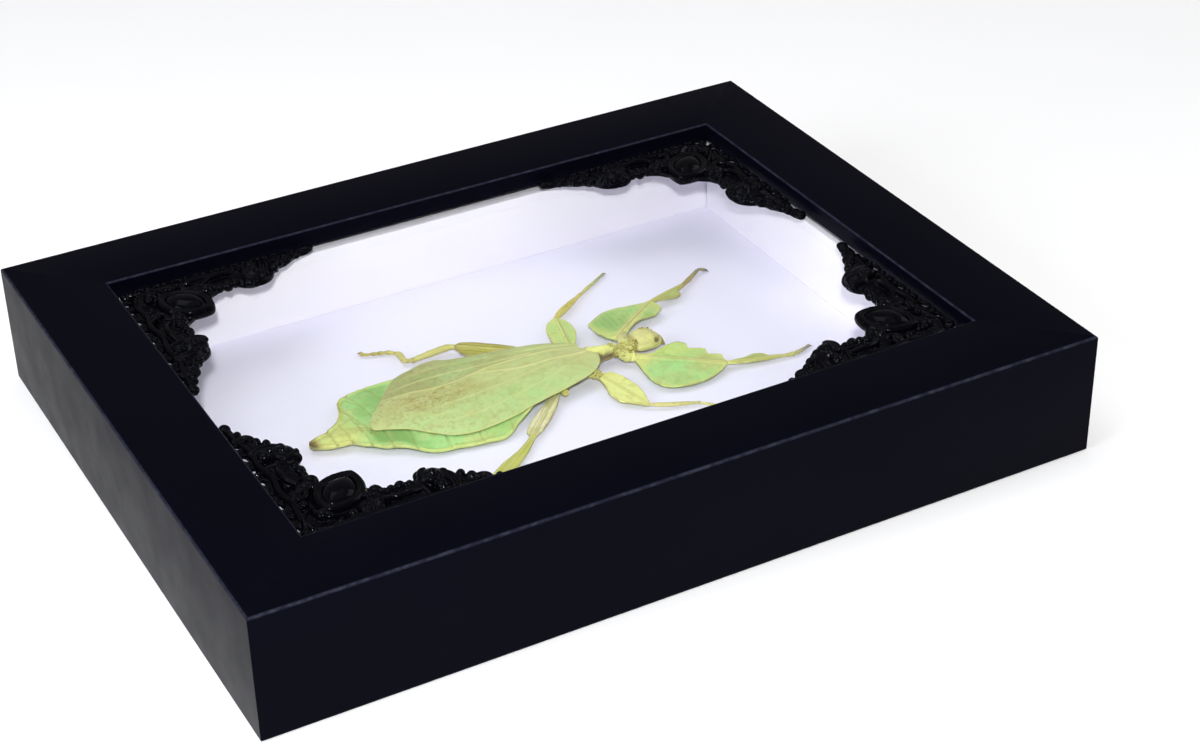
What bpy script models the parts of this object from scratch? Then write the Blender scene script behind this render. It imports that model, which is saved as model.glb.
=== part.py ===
"""A mounted female leaf insect in a shadow-box frame that lies on its back.

Metres, +Z up. The origin is at the bottom centre of the frame. X runs along the
frame's long side, from the insect's tail to its head, and Y along the short side.
Sizes below are in millimetres and are scaled to metres where a mesh is made.
"""

import math

import bmesh
import bpy
import numpy as np
from mathutils import Matrix, Vector

MM = 0.001

# ---------------------------------------------------------------- frame sizes
FRAME_L = 221.0
FRAME_W = 170.0
FRAME_H = 33.0
RAIL_W = 21.5          # seen from above, outer face to window edge
LIP_H = 5.0            # height of the lip that overhangs the glass
RABBET = 6.0           # how far the lip overhangs
EDGE = 0.6             # eased edges of the moulding
GAP = 0.3              # clearance between neighbouring pieces

GLASS_T = 2.0
LINER_T = 5.3
CARD_TOP = 6.0
CARD_T = 1.5
BOARD_T = 2.5

WIN_X = FRAME_L / 2 - RAIL_W       # half length of the window, 89.0
WIN_Y = FRAME_W / 2 - RAIL_W       # half width of the window, 63.5
CASE_X = WIN_X + RABBET            # half length of the case inside the rails
CASE_Y = WIN_Y + RABBET
GLASS_TOP = FRAME_H - LIP_H - GAP

# ------------------------------------------------------------- ornament sizes
PLATE_T = 1.5          # the cast plate under the relief
PLATE_Z = GLASS_TOP + GAP
# Inner contour of one arm: distance along the rail, distance from the rail.
ARM = [
    (21.8, 19.4), (22.2, 16.2), (23.8, 13.2), (27.2, 11.6), (30.8, 11.0),
    (32.4, 13.0), (35.8, 14.6), (39.0, 13.4), (41.2, 10.4), (42.8, 8.7),
    (46.0, 9.2), (48.8, 8.0), (50.6, 6.1), (53.0, 5.5), (55.0, 4.0),
    (54.6, 2.1), (51.8, 1.5),
]
SCALLOP = 7.2          # pitch of the shallow scallops on the outer edge
# Raised bosses of one arm: along, out, half length, half width, height, turn.
BOSSES = [
    (36.2, 8.4, 4.6, 5.4, 2.5, 20),
    (45.4, 5.1, 3.7, 3.4, 2.1, -10),
    (51.6, 3.7, 2.4, 1.7, 1.7, -25),
    (28.2, 6.4, 3.6, 4.2, 2.1, 15),
    (19.2, 4.9, 4.2, 3.0, 2.3, 0),
]
DOME = (15.2, 15.2, 7.0, 5.2, 3.3)   # along, out, half length, half width, height
DOME_RIM = 1.4
CORNER_BOSS = (6.4, 6.4, 4.4, 3.4, 2.6)

# --------------------------------------------------------------- insect sizes
AXIS_Y = 2.6           # the body's midline, parallel to X
FLESH_T = 0.7          # thickness of the abdomen's thin margin
WING_T = 0.55
WING_LIFT = 0.4        # under side of a tegmen over the back

# Height of the back along the midline, and the half width the back arches over.
BACK_X = [-61.0, -56.0, -50.0, -44.0, -36.0, -24.0, -10.0, 4.0, 12.0, 20.0]
BACK_Z = [8.5, 8.9, 9.1, 9.5, 9.9, 10.3, 10.5, 10.7, 10.9, 10.9]
ARCH_X = [-61.0, -56.0, -52.0, -48.0, -44.0, -38.0, -20.0, -5.0, 20.0]
ARCH_W = [3.5, 5.0, 7.5, 13.0, 16.0, 18.5, 19.0, 17.5, 17.0]
DROP_NEAR = 2.6        # the right side hangs to the card
DROP_FAR = 1.0         # the left side stays up

# Margins of the abdomen: X, Y.
ABD_NEAR = [(-60.4, 2.6), (-59.2, 1.2), (-56.0, -0.5), (-52.2, -0.9), (-48.4, -3.8),
            (-44.6, -6.9), (-40.0, -9.4), (-37.6, -12.1), (-34.2, -14.1),
            (-29.0, -15.2), (-22.8, -16.3), (-18.0, -16.9), (-15.0, -16.0),
            (-11.4, -13.4), (-4.0, -8.6), (2.0, -5.0)]
ABD_FAR = [(-60.4, 4.4), (-59.2, 5.4), (-56.0, 6.0), (-52.2, 8.4), (-50.0, 11.0),
           (-48.4, 14.2), (-47.2, 17.4), (-45.0, 19.0), (-41.0, 19.6),
           (-32.0, 19.5), (-24.0, 19.0), (-16.0, 17.4), (-10.0, 15.4),
           (-4.0, 12.6), (2.0, 10.0)]
ABD_CUTS = [(-60.2, -48.4), (-48.1, -34.4), (-34.1, -18.2), (-17.9, 1.7)]
ABD_NAMES = ["abdomen_tip", "abdomen_rear", "abdomen_middle", "abdomen_front"]

# Outlines of the tegmina: X, Y.
WING_NEAR = [(-45.2, 1.0), (-43.0, -0.6), (-38.7, -3.5), (-36.4, -5.4), (-32.8, -8.7),
             (-27.6, -12.0), (-21.6, -13.0), (-13.1, -12.0), (-4.4, -9.9),
             (3.8, -8.4), (12.1, -5.6), (16.0, -3.2), (18.4, -1.0)]
WING_SEAM = [(-45.2, 1.8), (-43.0, 4.6), (-40.9, 6.8), (-38.6, 9.0), (-31.2, 8.6),
             (-26.0, 7.4), (-19.6, 7.2), (-14.6, 8.2), (-8.0, 9.2), (0.4, 9.0),
             (9.6, 8.0), (16.3, 7.9), (18.4, 5.8)]
WING_FAR = [(-42.2, 4.2), (-40.9, 6.4), (-37.0, 12.2), (-33.7, 16.2), (-31.0, 18.8),
            (-26.0, 20.6), (-20.4, 21.8), (-18.0, 21.6), (-16.0, 20.2),
            (-9.9, 18.4), (-2.0, 16.6), (4.5, 15.0), (12.0, 12.2), (16.6, 9.8),
            (18.2, 8.2)]
WING_UNDER = [(-42.2, 3.4), (-40.0, 1.8), (-36.0, 0.4), (-30.0, -1.2), (10.0, -1.2),
              (18.2, 3.0)]

# Thorax and head: X, half width, bottom Z, top Z.
METATHORAX = [(2.3, 4.2, 7.2, 10.2), (5.0, 4.9, 7.0, 10.4), (10.0, 4.6, 7.0, 10.4),
              (14.0, 4.4, 7.1, 10.4), (16.8, 3.8, 7.4, 10.3)]
MESOTHORAX = [(17.1, 3.6, 7.4, 10.3), (18.3, 3.5, 7.4, 10.6), (19.4, 3.6, 7.4, 11.6),
              (21.0, 2.7, 7.5, 11.6), (23.0, 2.1, 7.6, 11.3), (24.4, 2.1, 7.8, 11.1)]
PROTHORAX = [(24.7, 2.0, 7.9, 11.1), (25.8, 2.5, 7.8, 11.6), (27.6, 2.7, 7.7, 11.8),
             (29.2, 2.5, 7.9, 11.5), (29.9, 2.1, 8.2, 11.0)]
HEAD_Y = 2.95          # the head sits a little to the left of the midline
HEAD = [(30.2, 2.3, 8.2, 11.1), (31.0, 3.0, 7.9, 11.9), (32.6, 3.4, 7.6, 12.3),
        (34.6, 3.5, 7.5, 12.3), (36.2, 3.3, 7.5, 11.7), (37.4, 2.6, 7.7, 10.8),
        (38.2, 1.2, 8.2, 9.7)]
EYE_R = 0.95
EYE_X = 35.7
EYE_OUT = 3.0
EYE_Z = 10.5

COLLECTION = "framed_leaf_insect"


# ------------------------------------------------------------------ materials
def material(name, colour, roughness, metallic=0.0):
    found = bpy.data.materials.get(name)
    if found:
        return found
    made = bpy.data.materials.new(name)
    made.use_nodes = True
    shader = made.node_tree.nodes["Principled BSDF"]
    shader.inputs["Base Color"].default_value = (*colour, 1.0)
    shader.inputs["Roughness"].default_value = roughness
    shader.inputs["Metallic"].default_value = metallic
    made.diffuse_color = (*colour, 1.0)
    return made


def clear_scene():
    for obj in list(bpy.data.objects):
        bpy.data.objects.remove(obj, do_unlink=True)


def make_object(name, bm, mat, smooth=True, target=None):
    bmesh.ops.recalc_face_normals(bm, faces=bm.faces[:])
    mesh = bpy.data.meshes.new(name)
    bm.to_mesh(mesh)
    bm.free()
    obj = bpy.data.objects.new(name, mesh)
    (target or PARTS).objects.link(obj)
    mesh.materials.append(mat)
    if smooth:
        mesh.shade_smooth()
        mesh.set_sharp_from_angle(angle=math.radians(35))
    return obj


# -------------------------------------------------------------- shape helpers
def box(name, size, centre, mat):
    bm = bmesh.new()
    bmesh.ops.create_cube(bm, size=1.0)
    bmesh.ops.scale(bm, vec=Vector(size) * MM, verts=bm.verts[:])
    bmesh.ops.translate(bm, vec=Vector(centre) * MM, verts=bm.verts[:])
    return make_object(name, bm, mat, smooth=False)


def loft(name, rings, mat, smooth=True):
    """A closed skin through rings of points that all have the same count."""
    bm = bmesh.new()
    made = [[bm.verts.new(Vector(p) * MM) for p in ring] for ring in rings]
    count = len(made[0])
    for a, b in zip(made, made[1:]):
        for i in range(count):
            j = (i + 1) % count
            bm.faces.new((a[i], a[j], b[j], b[i]))
    bm.faces.new(made[0][::-1])
    bm.faces.new(made[-1])
    bmesh.ops.triangulate(bm, faces=[f for f in bm.faces if len(f.verts) > 4])
    return make_object(name, bm, mat, smooth)


def curve_at(points, x):
    """Y of a smooth line through (x, y) points, by cubic Hermite pieces."""
    xs = np.array([p[0] for p in points], float)
    ys = np.array([p[1] for p in points], float)
    slopes = np.zeros(len(xs))
    steps = np.diff(ys) / np.diff(xs)
    for i in range(1, len(xs) - 1):
        if steps[i - 1] * steps[i] > 0:
            slopes[i] = 2 * steps[i - 1] * steps[i] / (steps[i - 1] + steps[i])
    slopes[0], slopes[-1] = steps[0], steps[-1]
    x = min(max(x, xs[0]), xs[-1])
    i = min(int(np.searchsorted(xs, x, side="right")) - 1, len(xs) - 2)
    h = xs[i + 1] - xs[i]
    t = (x - xs[i]) / h
    return float(
        (2 * t**3 - 3 * t**2 + 1) * ys[i]
        + (t**3 - 2 * t**2 + t) * h * slopes[i]
        + (-2 * t**3 + 3 * t**2) * ys[i + 1]
        + (t**3 - t**2) * h * slopes[i + 1]
    )


def back_height(x, y):
    """Height of the insect's back, which arches down from its midline."""
    centre = float(np.interp(x, BACK_X, BACK_Z))
    half = float(np.interp(x, ARCH_X, ARCH_W))
    t = (y - AXIS_Y) / half
    drop = DROP_NEAR if t < 0 else DROP_FAR
    fade = min(1.0, half / 12.0)
    return centre - drop * fade * min(abs(t), 1.15) ** 1.8


def superellipse(x, y, half_w, low, high, sides=14, power=2.4):
    """A ring across X, rounder than a box and fuller than an ellipse."""
    mid, half_h = (low + high) / 2, (high - low) / 2
    ring = []
    for i in range(sides):
        a = 2 * math.pi * (i + 0.5) / sides
        c, s = math.cos(a), math.sin(a)
        ring.append((
            x,
            y + half_w * math.copysign(abs(c) ** (2 / power), c),
            mid + half_h * math.copysign(abs(s) ** (2 / power), s),
        ))
    return ring


def along(start, end, s):
    return [start[k] + (end[k] - start[k]) * s for k in range(3)]


def tube(name, points, radii, mat, sides=8, flat=1.0):
    """A limb length through 3D points with a radius at each one."""
    points = [Vector(p) for p in points]
    rings = []
    for i, p in enumerate(points):
        d = (points[min(i + 1, len(points) - 1)] - points[max(i - 1, 0)]).normalized()
        side = d.cross(Vector((0, 0, 1))).normalized()
        up = side.cross(d).normalized()
        r = radii[i]
        rings.append([
            p + side * r * math.cos(2 * math.pi * k / sides)
            + up * r * flat * math.sin(2 * math.pi * k / sides)
            for k in range(sides)
        ])
    return loft(name, rings, mat)


def blade(name, start, end, left, right, mat, rib=0.75, edge=0.3, stations=11,
          tilt=0.0, droop=0.0):
    """A leaf-like limb length: a stout rib with a thin lobe on each side.

    left and right are (distance along, width) lists. rib and edge are half
    thicknesses, tilt lifts the left lobe and lowers the right one.
    """
    a, b = Vector(start), Vector(end)
    length = (b - a).length
    d = (b - a).normalized()
    side = Vector((0, 0, 1)).cross(d).normalized()
    up = Vector((0, 0, 1))
    rings = []
    for i in range(stations):
        s = length * i / (stations - 1)
        p = a + d * s
        wl, wr = max(curve_at(left, s), 0.35), max(curve_at(right, s), 0.35)
        k = rib * (0.72 + 0.28 * math.sin(math.pi * min(1, s / length + 0.12)))
        kl, kr = min(0.7, wl * 0.5), min(0.7, wr * 0.5)
        el = min(edge, k)
        cl = up * (tilt * wl - droop * (wl / 8.0) ** 2)
        cr = up * (-tilt * wr - droop * (wr / 8.0) ** 2)
        rings.append([
            p + side * wl + up * el + cl,
            p + side * kl + up * k * 0.75,
            p + up * k,
            p - side * kr + up * k * 0.75,
            p - side * wr + up * el + cr,
            p - side * wr - up * el + cr,
            p - side * kr - up * k * 0.75,
            p - up * k,
            p + side * kl - up * k * 0.75,
            p + side * wl - up * el + cl,
        ])
    return loft(name, rings, mat)


def ball(bm, centre, size, turn=0.0, u=12, v=7):
    """Adds a scaled and turned ball to a mesh in the making."""
    made = bmesh.ops.create_uvsphere(bm, u_segments=u, v_segments=v, radius=1.0)
    turn = Matrix.Rotation(math.radians(turn), 4, "Z")
    scale = Matrix.Diagonal((*[s * MM for s in size], 1.0))
    place = Matrix.Translation(Vector(centre) * MM)
    bmesh.ops.transform(bm, matrix=place @ turn @ scale, verts=made["verts"])


# -------------------------------------------------------------------- the frame
def rail(name, length, turn, reach, mat):
    """One mitred length of moulding. Its outer face starts at reach from centre."""
    inner, under = RAIL_W, RAIL_W - RABBET
    lip = FRAME_H - LIP_H
    profile = [
        (EDGE, 0.0), (under, 0.0), (under, lip), (inner, lip),
        (inner, FRAME_H - EDGE), (inner - EDGE * 0.3, FRAME_H - EDGE * 0.3),
        (inner - EDGE, FRAME_H), (EDGE, FRAME_H),
        (EDGE * 0.3, FRAME_H - EDGE * 0.3), (0.0, FRAME_H - EDGE), (0.0, EDGE),
        (EDGE * 0.3, EDGE * 0.3),
    ]
    half = length / 2
    bm = bmesh.new()
    ring = [bm.verts.new(Vector((-half, y, z)) * MM) for y, z in profile]
    face = bm.faces.new(ring)
    grown = bmesh.ops.extrude_face_region(bm, geom=[face])
    bmesh.ops.translate(
        bm, vec=Vector((length, 0, 0)) * MM,
        verts=[g for g in grown["geom"] if isinstance(g, bmesh.types.BMVert)],
    )
    for sign in (1, -1):
        cut = bmesh.ops.bisect_plane(
            bm, geom=bm.verts[:] + bm.edges[:] + bm.faces[:],
            plane_co=Vector((sign * (half - GAP / 2 * math.sqrt(2)), 0, 0)) * MM,
            plane_no=Vector((sign, 1, 0)).normalized(), clear_outer=True,
        )
        edges = [g for g in cut["geom_cut"] if isinstance(g, bmesh.types.BMEdge)]
        bmesh.ops.edgeloop_fill(bm, edges=edges)
    bmesh.ops.translate(bm, vec=Vector((0, -reach, 0)) * MM, verts=bm.verts[:])
    bmesh.ops.rotate(
        bm, cent=(0, 0, 0), matrix=Matrix.Rotation(math.radians(turn), 3, "Z"),
        verts=bm.verts[:],
    )
    bmesh.ops.triangulate(bm, faces=[f for f in bm.faces if len(f.verts) > 4])
    return make_object(name, bm, mat, smooth=False)


def build_frame():
    black = material("frame_black", (0.012, 0.012, 0.016), 0.42)
    white = material("liner_white", (0.86, 0.86, 0.88), 0.85)
    card = material("card_white", (0.88, 0.88, 0.9), 0.9)
    board = material("board_brown", (0.24, 0.16, 0.1), 0.8)
    steel = material("tab_steel", (0.5, 0.5, 0.5), 0.35, 1.0)
    glass = material("glass", (0.9, 0.95, 0.94), 0.02)
    rail("rail_front", FRAME_L, 0, FRAME_W / 2, black)
    rail("rail_right", FRAME_W, 90, FRAME_L / 2, black)
    rail("rail_back", FRAME_L, 180, FRAME_W / 2, black)
    rail("rail_left", FRAME_W, 270, FRAME_L / 2, black)

    inner_x, inner_y = CASE_X - GAP, CASE_Y - GAP
    glass_low = GLASS_TOP - GLASS_T
    box("glass_pane", (2 * inner_x, 2 * inner_y, GLASS_T),
        (0, 0, GLASS_TOP - GLASS_T / 2), glass)
    low, high = CARD_TOP + GAP, glass_low - GAP
    tall, mid = high - low, (high + low) / 2
    for name, sign in (("liner_back", 1), ("liner_front", -1)):
        box(name, (2 * inner_x, LINER_T, tall),
            (0, sign * (inner_y - LINER_T / 2), mid), white)
    side = 2 * (inner_y - LINER_T - GAP)
    for name, sign in (("liner_right", 1), ("liner_left", -1)):
        box(name, (LINER_T, side, tall),
            (sign * (inner_x - LINER_T / 2), 0, mid), white)
    box("base_card", (2 * inner_x, 2 * inner_y, CARD_T),
        (0, 0, CARD_TOP - CARD_T / 2), card)
    board_top = CARD_TOP - CARD_T - GAP
    box("back_board", (2 * inner_x, 2 * inner_y, BOARD_T),
        (0, 0, board_top - BOARD_T / 2), board)
    tab_z = board_top - BOARD_T - GAP - 0.35
    for name, x, sign in (("tab_back_a", -55, 1), ("tab_back_b", 55, 1),
                          ("tab_front_a", -55, -1), ("tab_front_b", 55, -1)):
        box(name, (9.0, 11.0, 0.7), (x, sign * (CASE_Y - GAP - 5.5), tab_z), steel)


# ---------------------------------------------------------------- the ornaments
def ornament_outline():
    """One corner casting seen from above, as (u, v) from the window's corner."""
    arm = []
    for a in ARM[:-1]:
        arm.append(a)
    arm.append(ARM[-1])
    outer = []
    u = 48.0
    while u > 1.5:
        wave = abs(math.sin(math.pi * u / SCALLOP))
        outer.append((u, 1.0 + 0.9 * (1 - wave)))
        u -= SCALLOP / 2
    half = arm + outer
    mirrored = [(v, u) for u, v in reversed(half)]
    return half + [(1.0, 1.0)] + mirrored + [(21.2, 21.2)]


def build_ornament(name, sx, sy, mat):
    """A cast corner: scalloped plate, bosses and an oval dome, in one piece."""
    bm = bmesh.new()
    ring = [bm.verts.new(Vector((u, v, 0)) * MM) for u, v in ornament_outline()]
    face = bm.faces.new(ring)
    bmesh.ops.triangulate(bm, faces=[face])
    grown = bmesh.ops.extrude_face_region(bm, geom=bm.faces[:])
    bmesh.ops.translate(
        bm, vec=Vector((0, 0, PLATE_T)) * MM,
        verts=[g for g in grown["geom"] if isinstance(g, bmesh.types.BMVert)],
    )
    body = make_object(name, bm, mat)

    relief = []
    sunk = 0.55
    for k, (u, v, lu, lv, h, turn) in enumerate(BOSSES):
        for swap in (0, 1):
            cut = bmesh.new()
            centre = (v, u, sunk) if swap else (u, v, sunk)
            size = (lv, lu, h) if swap else (lu, lv, h)
            ball(cut, centre, size, -turn if swap else turn, u=8, v=4)
            relief.append(make_object(f"{name}_relief_{k}{swap}", cut, mat, target=CUTTERS))
    u, v, a, b, h = DOME
    rim = bmesh.new()
    bmesh.ops.create_cone(rim, cap_ends=True, segments=14, radius1=1.0,
                          radius2=0.88, depth=1.0)
    bmesh.ops.transform(
        rim, verts=rim.verts[:],
        matrix=Matrix.Translation(Vector((u, v, 1.45)) * MM)
        @ Matrix.Rotation(math.radians(45), 4, "Z")
        @ Matrix.Diagonal(((a + DOME_RIM) * MM, (b + DOME_RIM) * MM, 2.3 * MM, 1.0)),
    )
    relief.append(make_object(f"{name}_relief_rim", rim, mat, target=CUTTERS))
    dome = bmesh.new()
    ball(dome, (u, v, 1.3), (a, b, h), 45, u=12, v=6)
    relief.append(make_object(f"{name}_relief_dome", dome, mat, target=CUTTERS))
    cu, cv, ca, cb, ch = CORNER_BOSS
    corner = bmesh.new()
    ball(corner, (cu, cv, sunk), (ca, cb, ch), 45, u=8, v=4)
    relief.append(make_object(f"{name}_relief_corner", corner, mat, target=CUTTERS))

    # The relief is joined to the plate and kept above the plate's flat back.
    for part in relief:
        union = body.modifiers.new(part.name, "BOOLEAN")
        union.operation = "UNION"
        union.solver = "EXACT"
        union.object = part
        part.hide_render = True
        part.display_type = "WIRE"
    floor_bm = bmesh.new()
    bmesh.ops.create_cube(floor_bm, size=1.0)
    bmesh.ops.scale(floor_bm, vec=Vector((150, 150, 20)) * MM, verts=floor_bm.verts[:])
    bmesh.ops.translate(floor_bm, vec=Vector((20, 20, -10 + 0.0005)) * MM,
                        verts=floor_bm.verts[:])
    floor = make_object(f"{name}_floor", floor_bm, mat, smooth=False, target=CUTTERS)
    floor.hide_render = True
    floor.display_type = "WIRE"
    trim = body.modifiers.new("flat_back", "BOOLEAN")
    trim.operation = "DIFFERENCE"
    trim.solver = "EXACT"
    trim.object = floor
    turn = {(1, 1): 180, (-1, 1): 270, (-1, -1): 0, (1, -1): 90}[(sx, sy)]
    place = Matrix.Translation(
        Vector((sx * WIN_X, sy * WIN_Y, PLATE_Z)) * MM
    ) @ Matrix.Rotation(math.radians(turn), 4, "Z")
    for obj in [body, floor, *relief]:
        obj.matrix_world = place


# ------------------------------------------------------------------- the insect
def build_abdomen(mat):
    across = 9
    for name, (x0, x1) in zip(ABD_NAMES, ABD_CUTS):
        steps = max(4, round((x1 - x0) / 2.4))
        rings = []
        for i in range(steps + 1):
            x = x0 + (x1 - x0) * i / steps
            near, far = curve_at(ABD_NEAR, x), curve_at(ABD_FAR, x)
            top, low = [], []
            core = min(3.1, 1.2 + (far - near) * 0.16)
            for k in range(across):
                t = -1 + 2 * k / (across - 1)
                y = (near + far) / 2 + t * (far - near) / 2
                z = back_height(x, y)
                thick = FLESH_T + (core - FLESH_T) * (1 - abs(t) ** 2.5)
                top.append((x, y, z))
                low.append((x, y, max(z - thick, CARD_TOP + GAP)))
            rings.append(top + low[::-1])
        loft(name, rings, mat)


def build_tegmen(name, one, two, lift, mat, across=7, steps=17):
    """A thin wing cover between two edge lines, lying over the back."""
    x0 = max(one[0][0], two[0][0])
    x1 = min(one[-1][0], two[-1][0])
    rings = []
    for i in range(steps + 1):
        s = i / steps
        x = x0 + (x1 - x0) * (s - 0.06 * math.sin(2 * math.pi * s))
        a, b = curve_at(one, x), curve_at(two, x)
        if b - a < 0.7:
            a, b = (a + b) / 2 - 0.35, (a + b) / 2 + 0.35
        top, low = [], []
        for k in range(across):
            t = k / (across - 1)
            y = a + (b - a) * t
            z = back_height(x, y) + lift(t)
            top.append((x, y, z + WING_T))
            low.append((x, y, z))
        rings.append(top + low[::-1])
    loft(name, rings, mat)


def build_trunk(flesh, shell, dark):
    for name, rows, mat in (("metathorax", METATHORAX, flesh),
                            ("mesothorax", MESOTHORAX, flesh),
                            ("prothorax", PROTHORAX, flesh)):
        loft(name, [superellipse(x, AXIS_Y, w, lo, hi) for x, w, lo, hi in rows], mat)
    head = loft("head", [superellipse(x, HEAD_Y, w, lo, hi, 16) for x, w, lo, hi in HEAD],
                shell)
    for name, sign in (("eye_left", 1), ("eye_right", -1)):
        centre = (EYE_X, HEAD_Y + sign * EYE_OUT, EYE_Z)
        socket_bm = bmesh.new()
        ball(socket_bm, centre, [EYE_R + GAP] * 3, u=10, v=6)
        socket = make_object(f"{name}_socket", socket_bm, shell, target=CUTTERS)
        socket.hide_render = True
        socket.display_type = "WIRE"
        cut = head.modifiers.new(f"{name}_socket", "BOOLEAN")
        cut.operation = "DIFFERENCE"
        cut.solver = "EXACT"
        cut.object = socket
        eye = bmesh.new()
        ball(eye, centre, (EYE_R * 1.0, EYE_R * 0.95, EYE_R), u=12, v=7)
        make_object(name, eye, dark)
        y = HEAD_Y + sign * 1.7
        tube(f"antenna_{name[4:]}",
             [(38.3, y, 9.9), (39.1, y + sign * 0.5, 10.0), (39.9, y + sign * 1.3, 9.9),
              (40.4, y + sign * 2.3, 9.6)],
             [0.32, 0.3, 0.3, 0.27], flesh, sides=6)


def build_legs(green, olive):
    # Fore legs: broad green blades, with a smaller lobe on the inner side.
    blade("femur_left_fore", (27.6, 7.8, 9.2), (46.0, 20.9, 8.6),
          [(0, 1.5), (1.6, 4.2), (4.0, 7.8), (7.4, 9.6), (10.4, 9.0), (15.0, 6.4),
           (19.0, 3.9), (21.4, 1.5), (22.81, 0.5)],
          [(0, 1.5), (4.0, 0.9), (8.0, 0.6), (12.4, 0.8), (14.6, 2.6), (17.0, 3.9),
           (20.0, 4.4), (21.8, 2.4), (22.8, 0.5)],
          green, stations=13, tilt=0.02)
    tube("coxa_left_fore", [(26.6, 5.75, 9.4), (26.7, 6.3, 9.3), (26.9, 6.85, 9.25)],
         [0.9, 1.2, 0.9], olive)
    blade("tibia_left_fore", (46.3, 21.1, 8.5), (58.6, 25.4, 7.8),
          [(0, 0.6), (6.0, 0.8), (13.0, 0.6)],
          [(0, 0.6), (3.0, 1.5), (7.0, 3.2), (8.6, 3.4), (10.0, 1.4), (13.0, 0.6)],
          olive, rib=0.5, edge=0.26, stations=8)
    tube("tarsus_left_fore",
         [(58.95, 25.7, 7.7), (62.0, 27.8, 7.4), (65.0, 30.0, 7.2), (67.4, 31.4, 7.3),
          (69.2, 30.7, 6.9)],
         [0.5, 0.5, 0.45, 0.5, 0.3], olive, sides=6)

    blade("femur_right_fore", (28.6, -1.5, 8.6), (48.2, -15.5, 8.0),
          [(0, 0.8), (4.6, 1.3), (6.4, 4.2), (8.0, 7.0), (10.6, 8.4), (13.0, 8.1),
           (14.4, 6.2), (16.6, 5.2), (19.0, 5.6), (20.2, 3.9), (22.8, 3.3), (24.2, 0.5)],
          [(0, 1.4), (1.0, 3.8), (3.2, 7.7), (6.4, 12.2), (9.8, 13.6), (13.8, 12.8),
           (18.6, 9.2), (22.8, 3.6), (24.2, 0.5)],
          green, stations=15, tilt=0.03, droop=0.1)
    tube("coxa_right_fore", [(25.7, -1.35, 8.9), (26.8, -1.5, 8.8), (27.8, -1.6, 8.7)],
         [0.7, 1.05, 0.75], olive)
    blade("tibia_right_fore", (48.6, -15.6, 7.9), (62.4, -18.6, 7.3),
          [(0, 0.6), (4.0, 1.5), (7.6, 2.1), (9.6, 1.2), (14.2, 0.6)],
          [(0, 0.6), (6.0, 0.9), (14.2, 0.6)],
          olive, rib=0.5, edge=0.26, stations=8)
    tube("tarsus_right_fore",
         [(62.8, -18.75, 7.2), (66.0, -18.9, 7.0), (69.2, -18.4, 7.0), (71.9, -17.4, 6.9)],
         [0.5, 0.48, 0.45, 0.32], olive, sides=6)

    # Middle legs: narrower leaf-shaped femora.
    blade("femur_left_middle", (15.4, 8.6, 8.6), (20.2, 26.9, 8.2),
          [(0, 0.8), (3.0, 2.4), (7.6, 3.9), (12.2, 4.0), (16.0, 3.0), (18.9, 0.5)],
          [(0, 0.8), (3.0, 1.3), (6.6, 2.7), (11.0, 3.5), (14.6, 3.1), (18.9, 0.5)],
          green, rib=0.65)
    tube("coxa_left_middle", [(14.9, 7.25, 8.8), (15.0, 7.7, 8.75), (15.2, 8.2, 8.7)],
         [0.8, 1.1, 0.8], olive)
    tube("tibia_left_middle",
         [(20.5, 27.3, 8.1), (24.5, 30.2, 7.9), (28.6, 33.2, 7.6), (32.4, 35.9, 7.3)],
         [0.5, 0.85, 0.65, 0.45], olive)
    tube("tarsus_left_middle",
         [(32.8, 36.2, 7.2), (36.6, 38.8, 7.0), (40.4, 41.2, 6.9), (43.9, 43.5, 6.8)],
         [0.42, 0.42, 0.38, 0.3], olive, sides=6)

    blade("femur_right_middle", (16.3, -4.4, 8.1), (20.9, -22.0, 7.5),
          [(0, 0.9), (1.4, 3.0), (7.4, 4.1), (13.8, 3.0), (18.2, 0.5)],
          [(0, 0.9), (2.6, 1.9), (9.2, 4.6), (14.6, 2.9), (18.2, 0.5)],
          green, rib=0.65)
    tube("coxa_right_middle", [(14.9, -2.2, 8.7), (15.6, -3.0, 8.4), (16.1, -3.95, 8.2)],
         [0.9, 1.3, 0.9], olive)
    tube("tibia_right_middle",
         [(21.3, -22.55, 7.4), (25.2, -23.9, 7.3), (29.2, -25.4, 7.2), (32.9, -26.8, 7.1)],
         [0.5, 0.9, 0.8, 0.5], olive)
    tube("tarsus_right_middle",
         [(33.2, -27.1, 7.0), (35.4, -29.2, 6.9), (37.4, -32.4, 6.85), (39.2, -35.6, 6.8)],
         [0.42, 0.42, 0.38, 0.3], olive, sides=6)

    # Hind legs, which reach back from under the tegmina.
    blade("femur_left_hind", (6.0, 14.0, 8.5), (-9.7, 26.8, 8.6),
          [(0, 0.8), (4.0, 1.8), (8.0, 3.8), (13.0, 4.8), (17.0, 3.4), (20.26, 0.7)],
          [(0, 0.8), (6.0, 1.5), (15.0, 1.5), (20.26, 0.7)],
          olive, rib=0.7)
    tube("coxa_left_hind", [(5.3, 7.9, 8.7), (5.6, 10.4, 8.6), (5.9, 13.0, 8.5)],
         [0.9, 1.1, 0.8], olive)
    tube("tibia_left_hind",
         [(-10.2, 27.3, 8.6), (-14.0, 27.8, 8.2), (-18.0, 27.7, 7.9), (-21.7, 27.6, 7.7)],
         [0.6, 0.85, 0.8, 0.6], olive)
    tube("tarsus_left_hind",
         [(-22.7, 28.2, 7.6), (-23.4, 30.0, 7.6), (-23.0, 32.8, 7.3), (-25.2, 35.4, 7.1),
          (-28.4, 36.8, 6.9), (-31.2, 37.9, 6.9), (-31.5, 39.2, 6.8)],
         [0.5, 1.0, 0.6, 0.5, 0.45, 0.42, 0.3], olive, sides=6)

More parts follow.
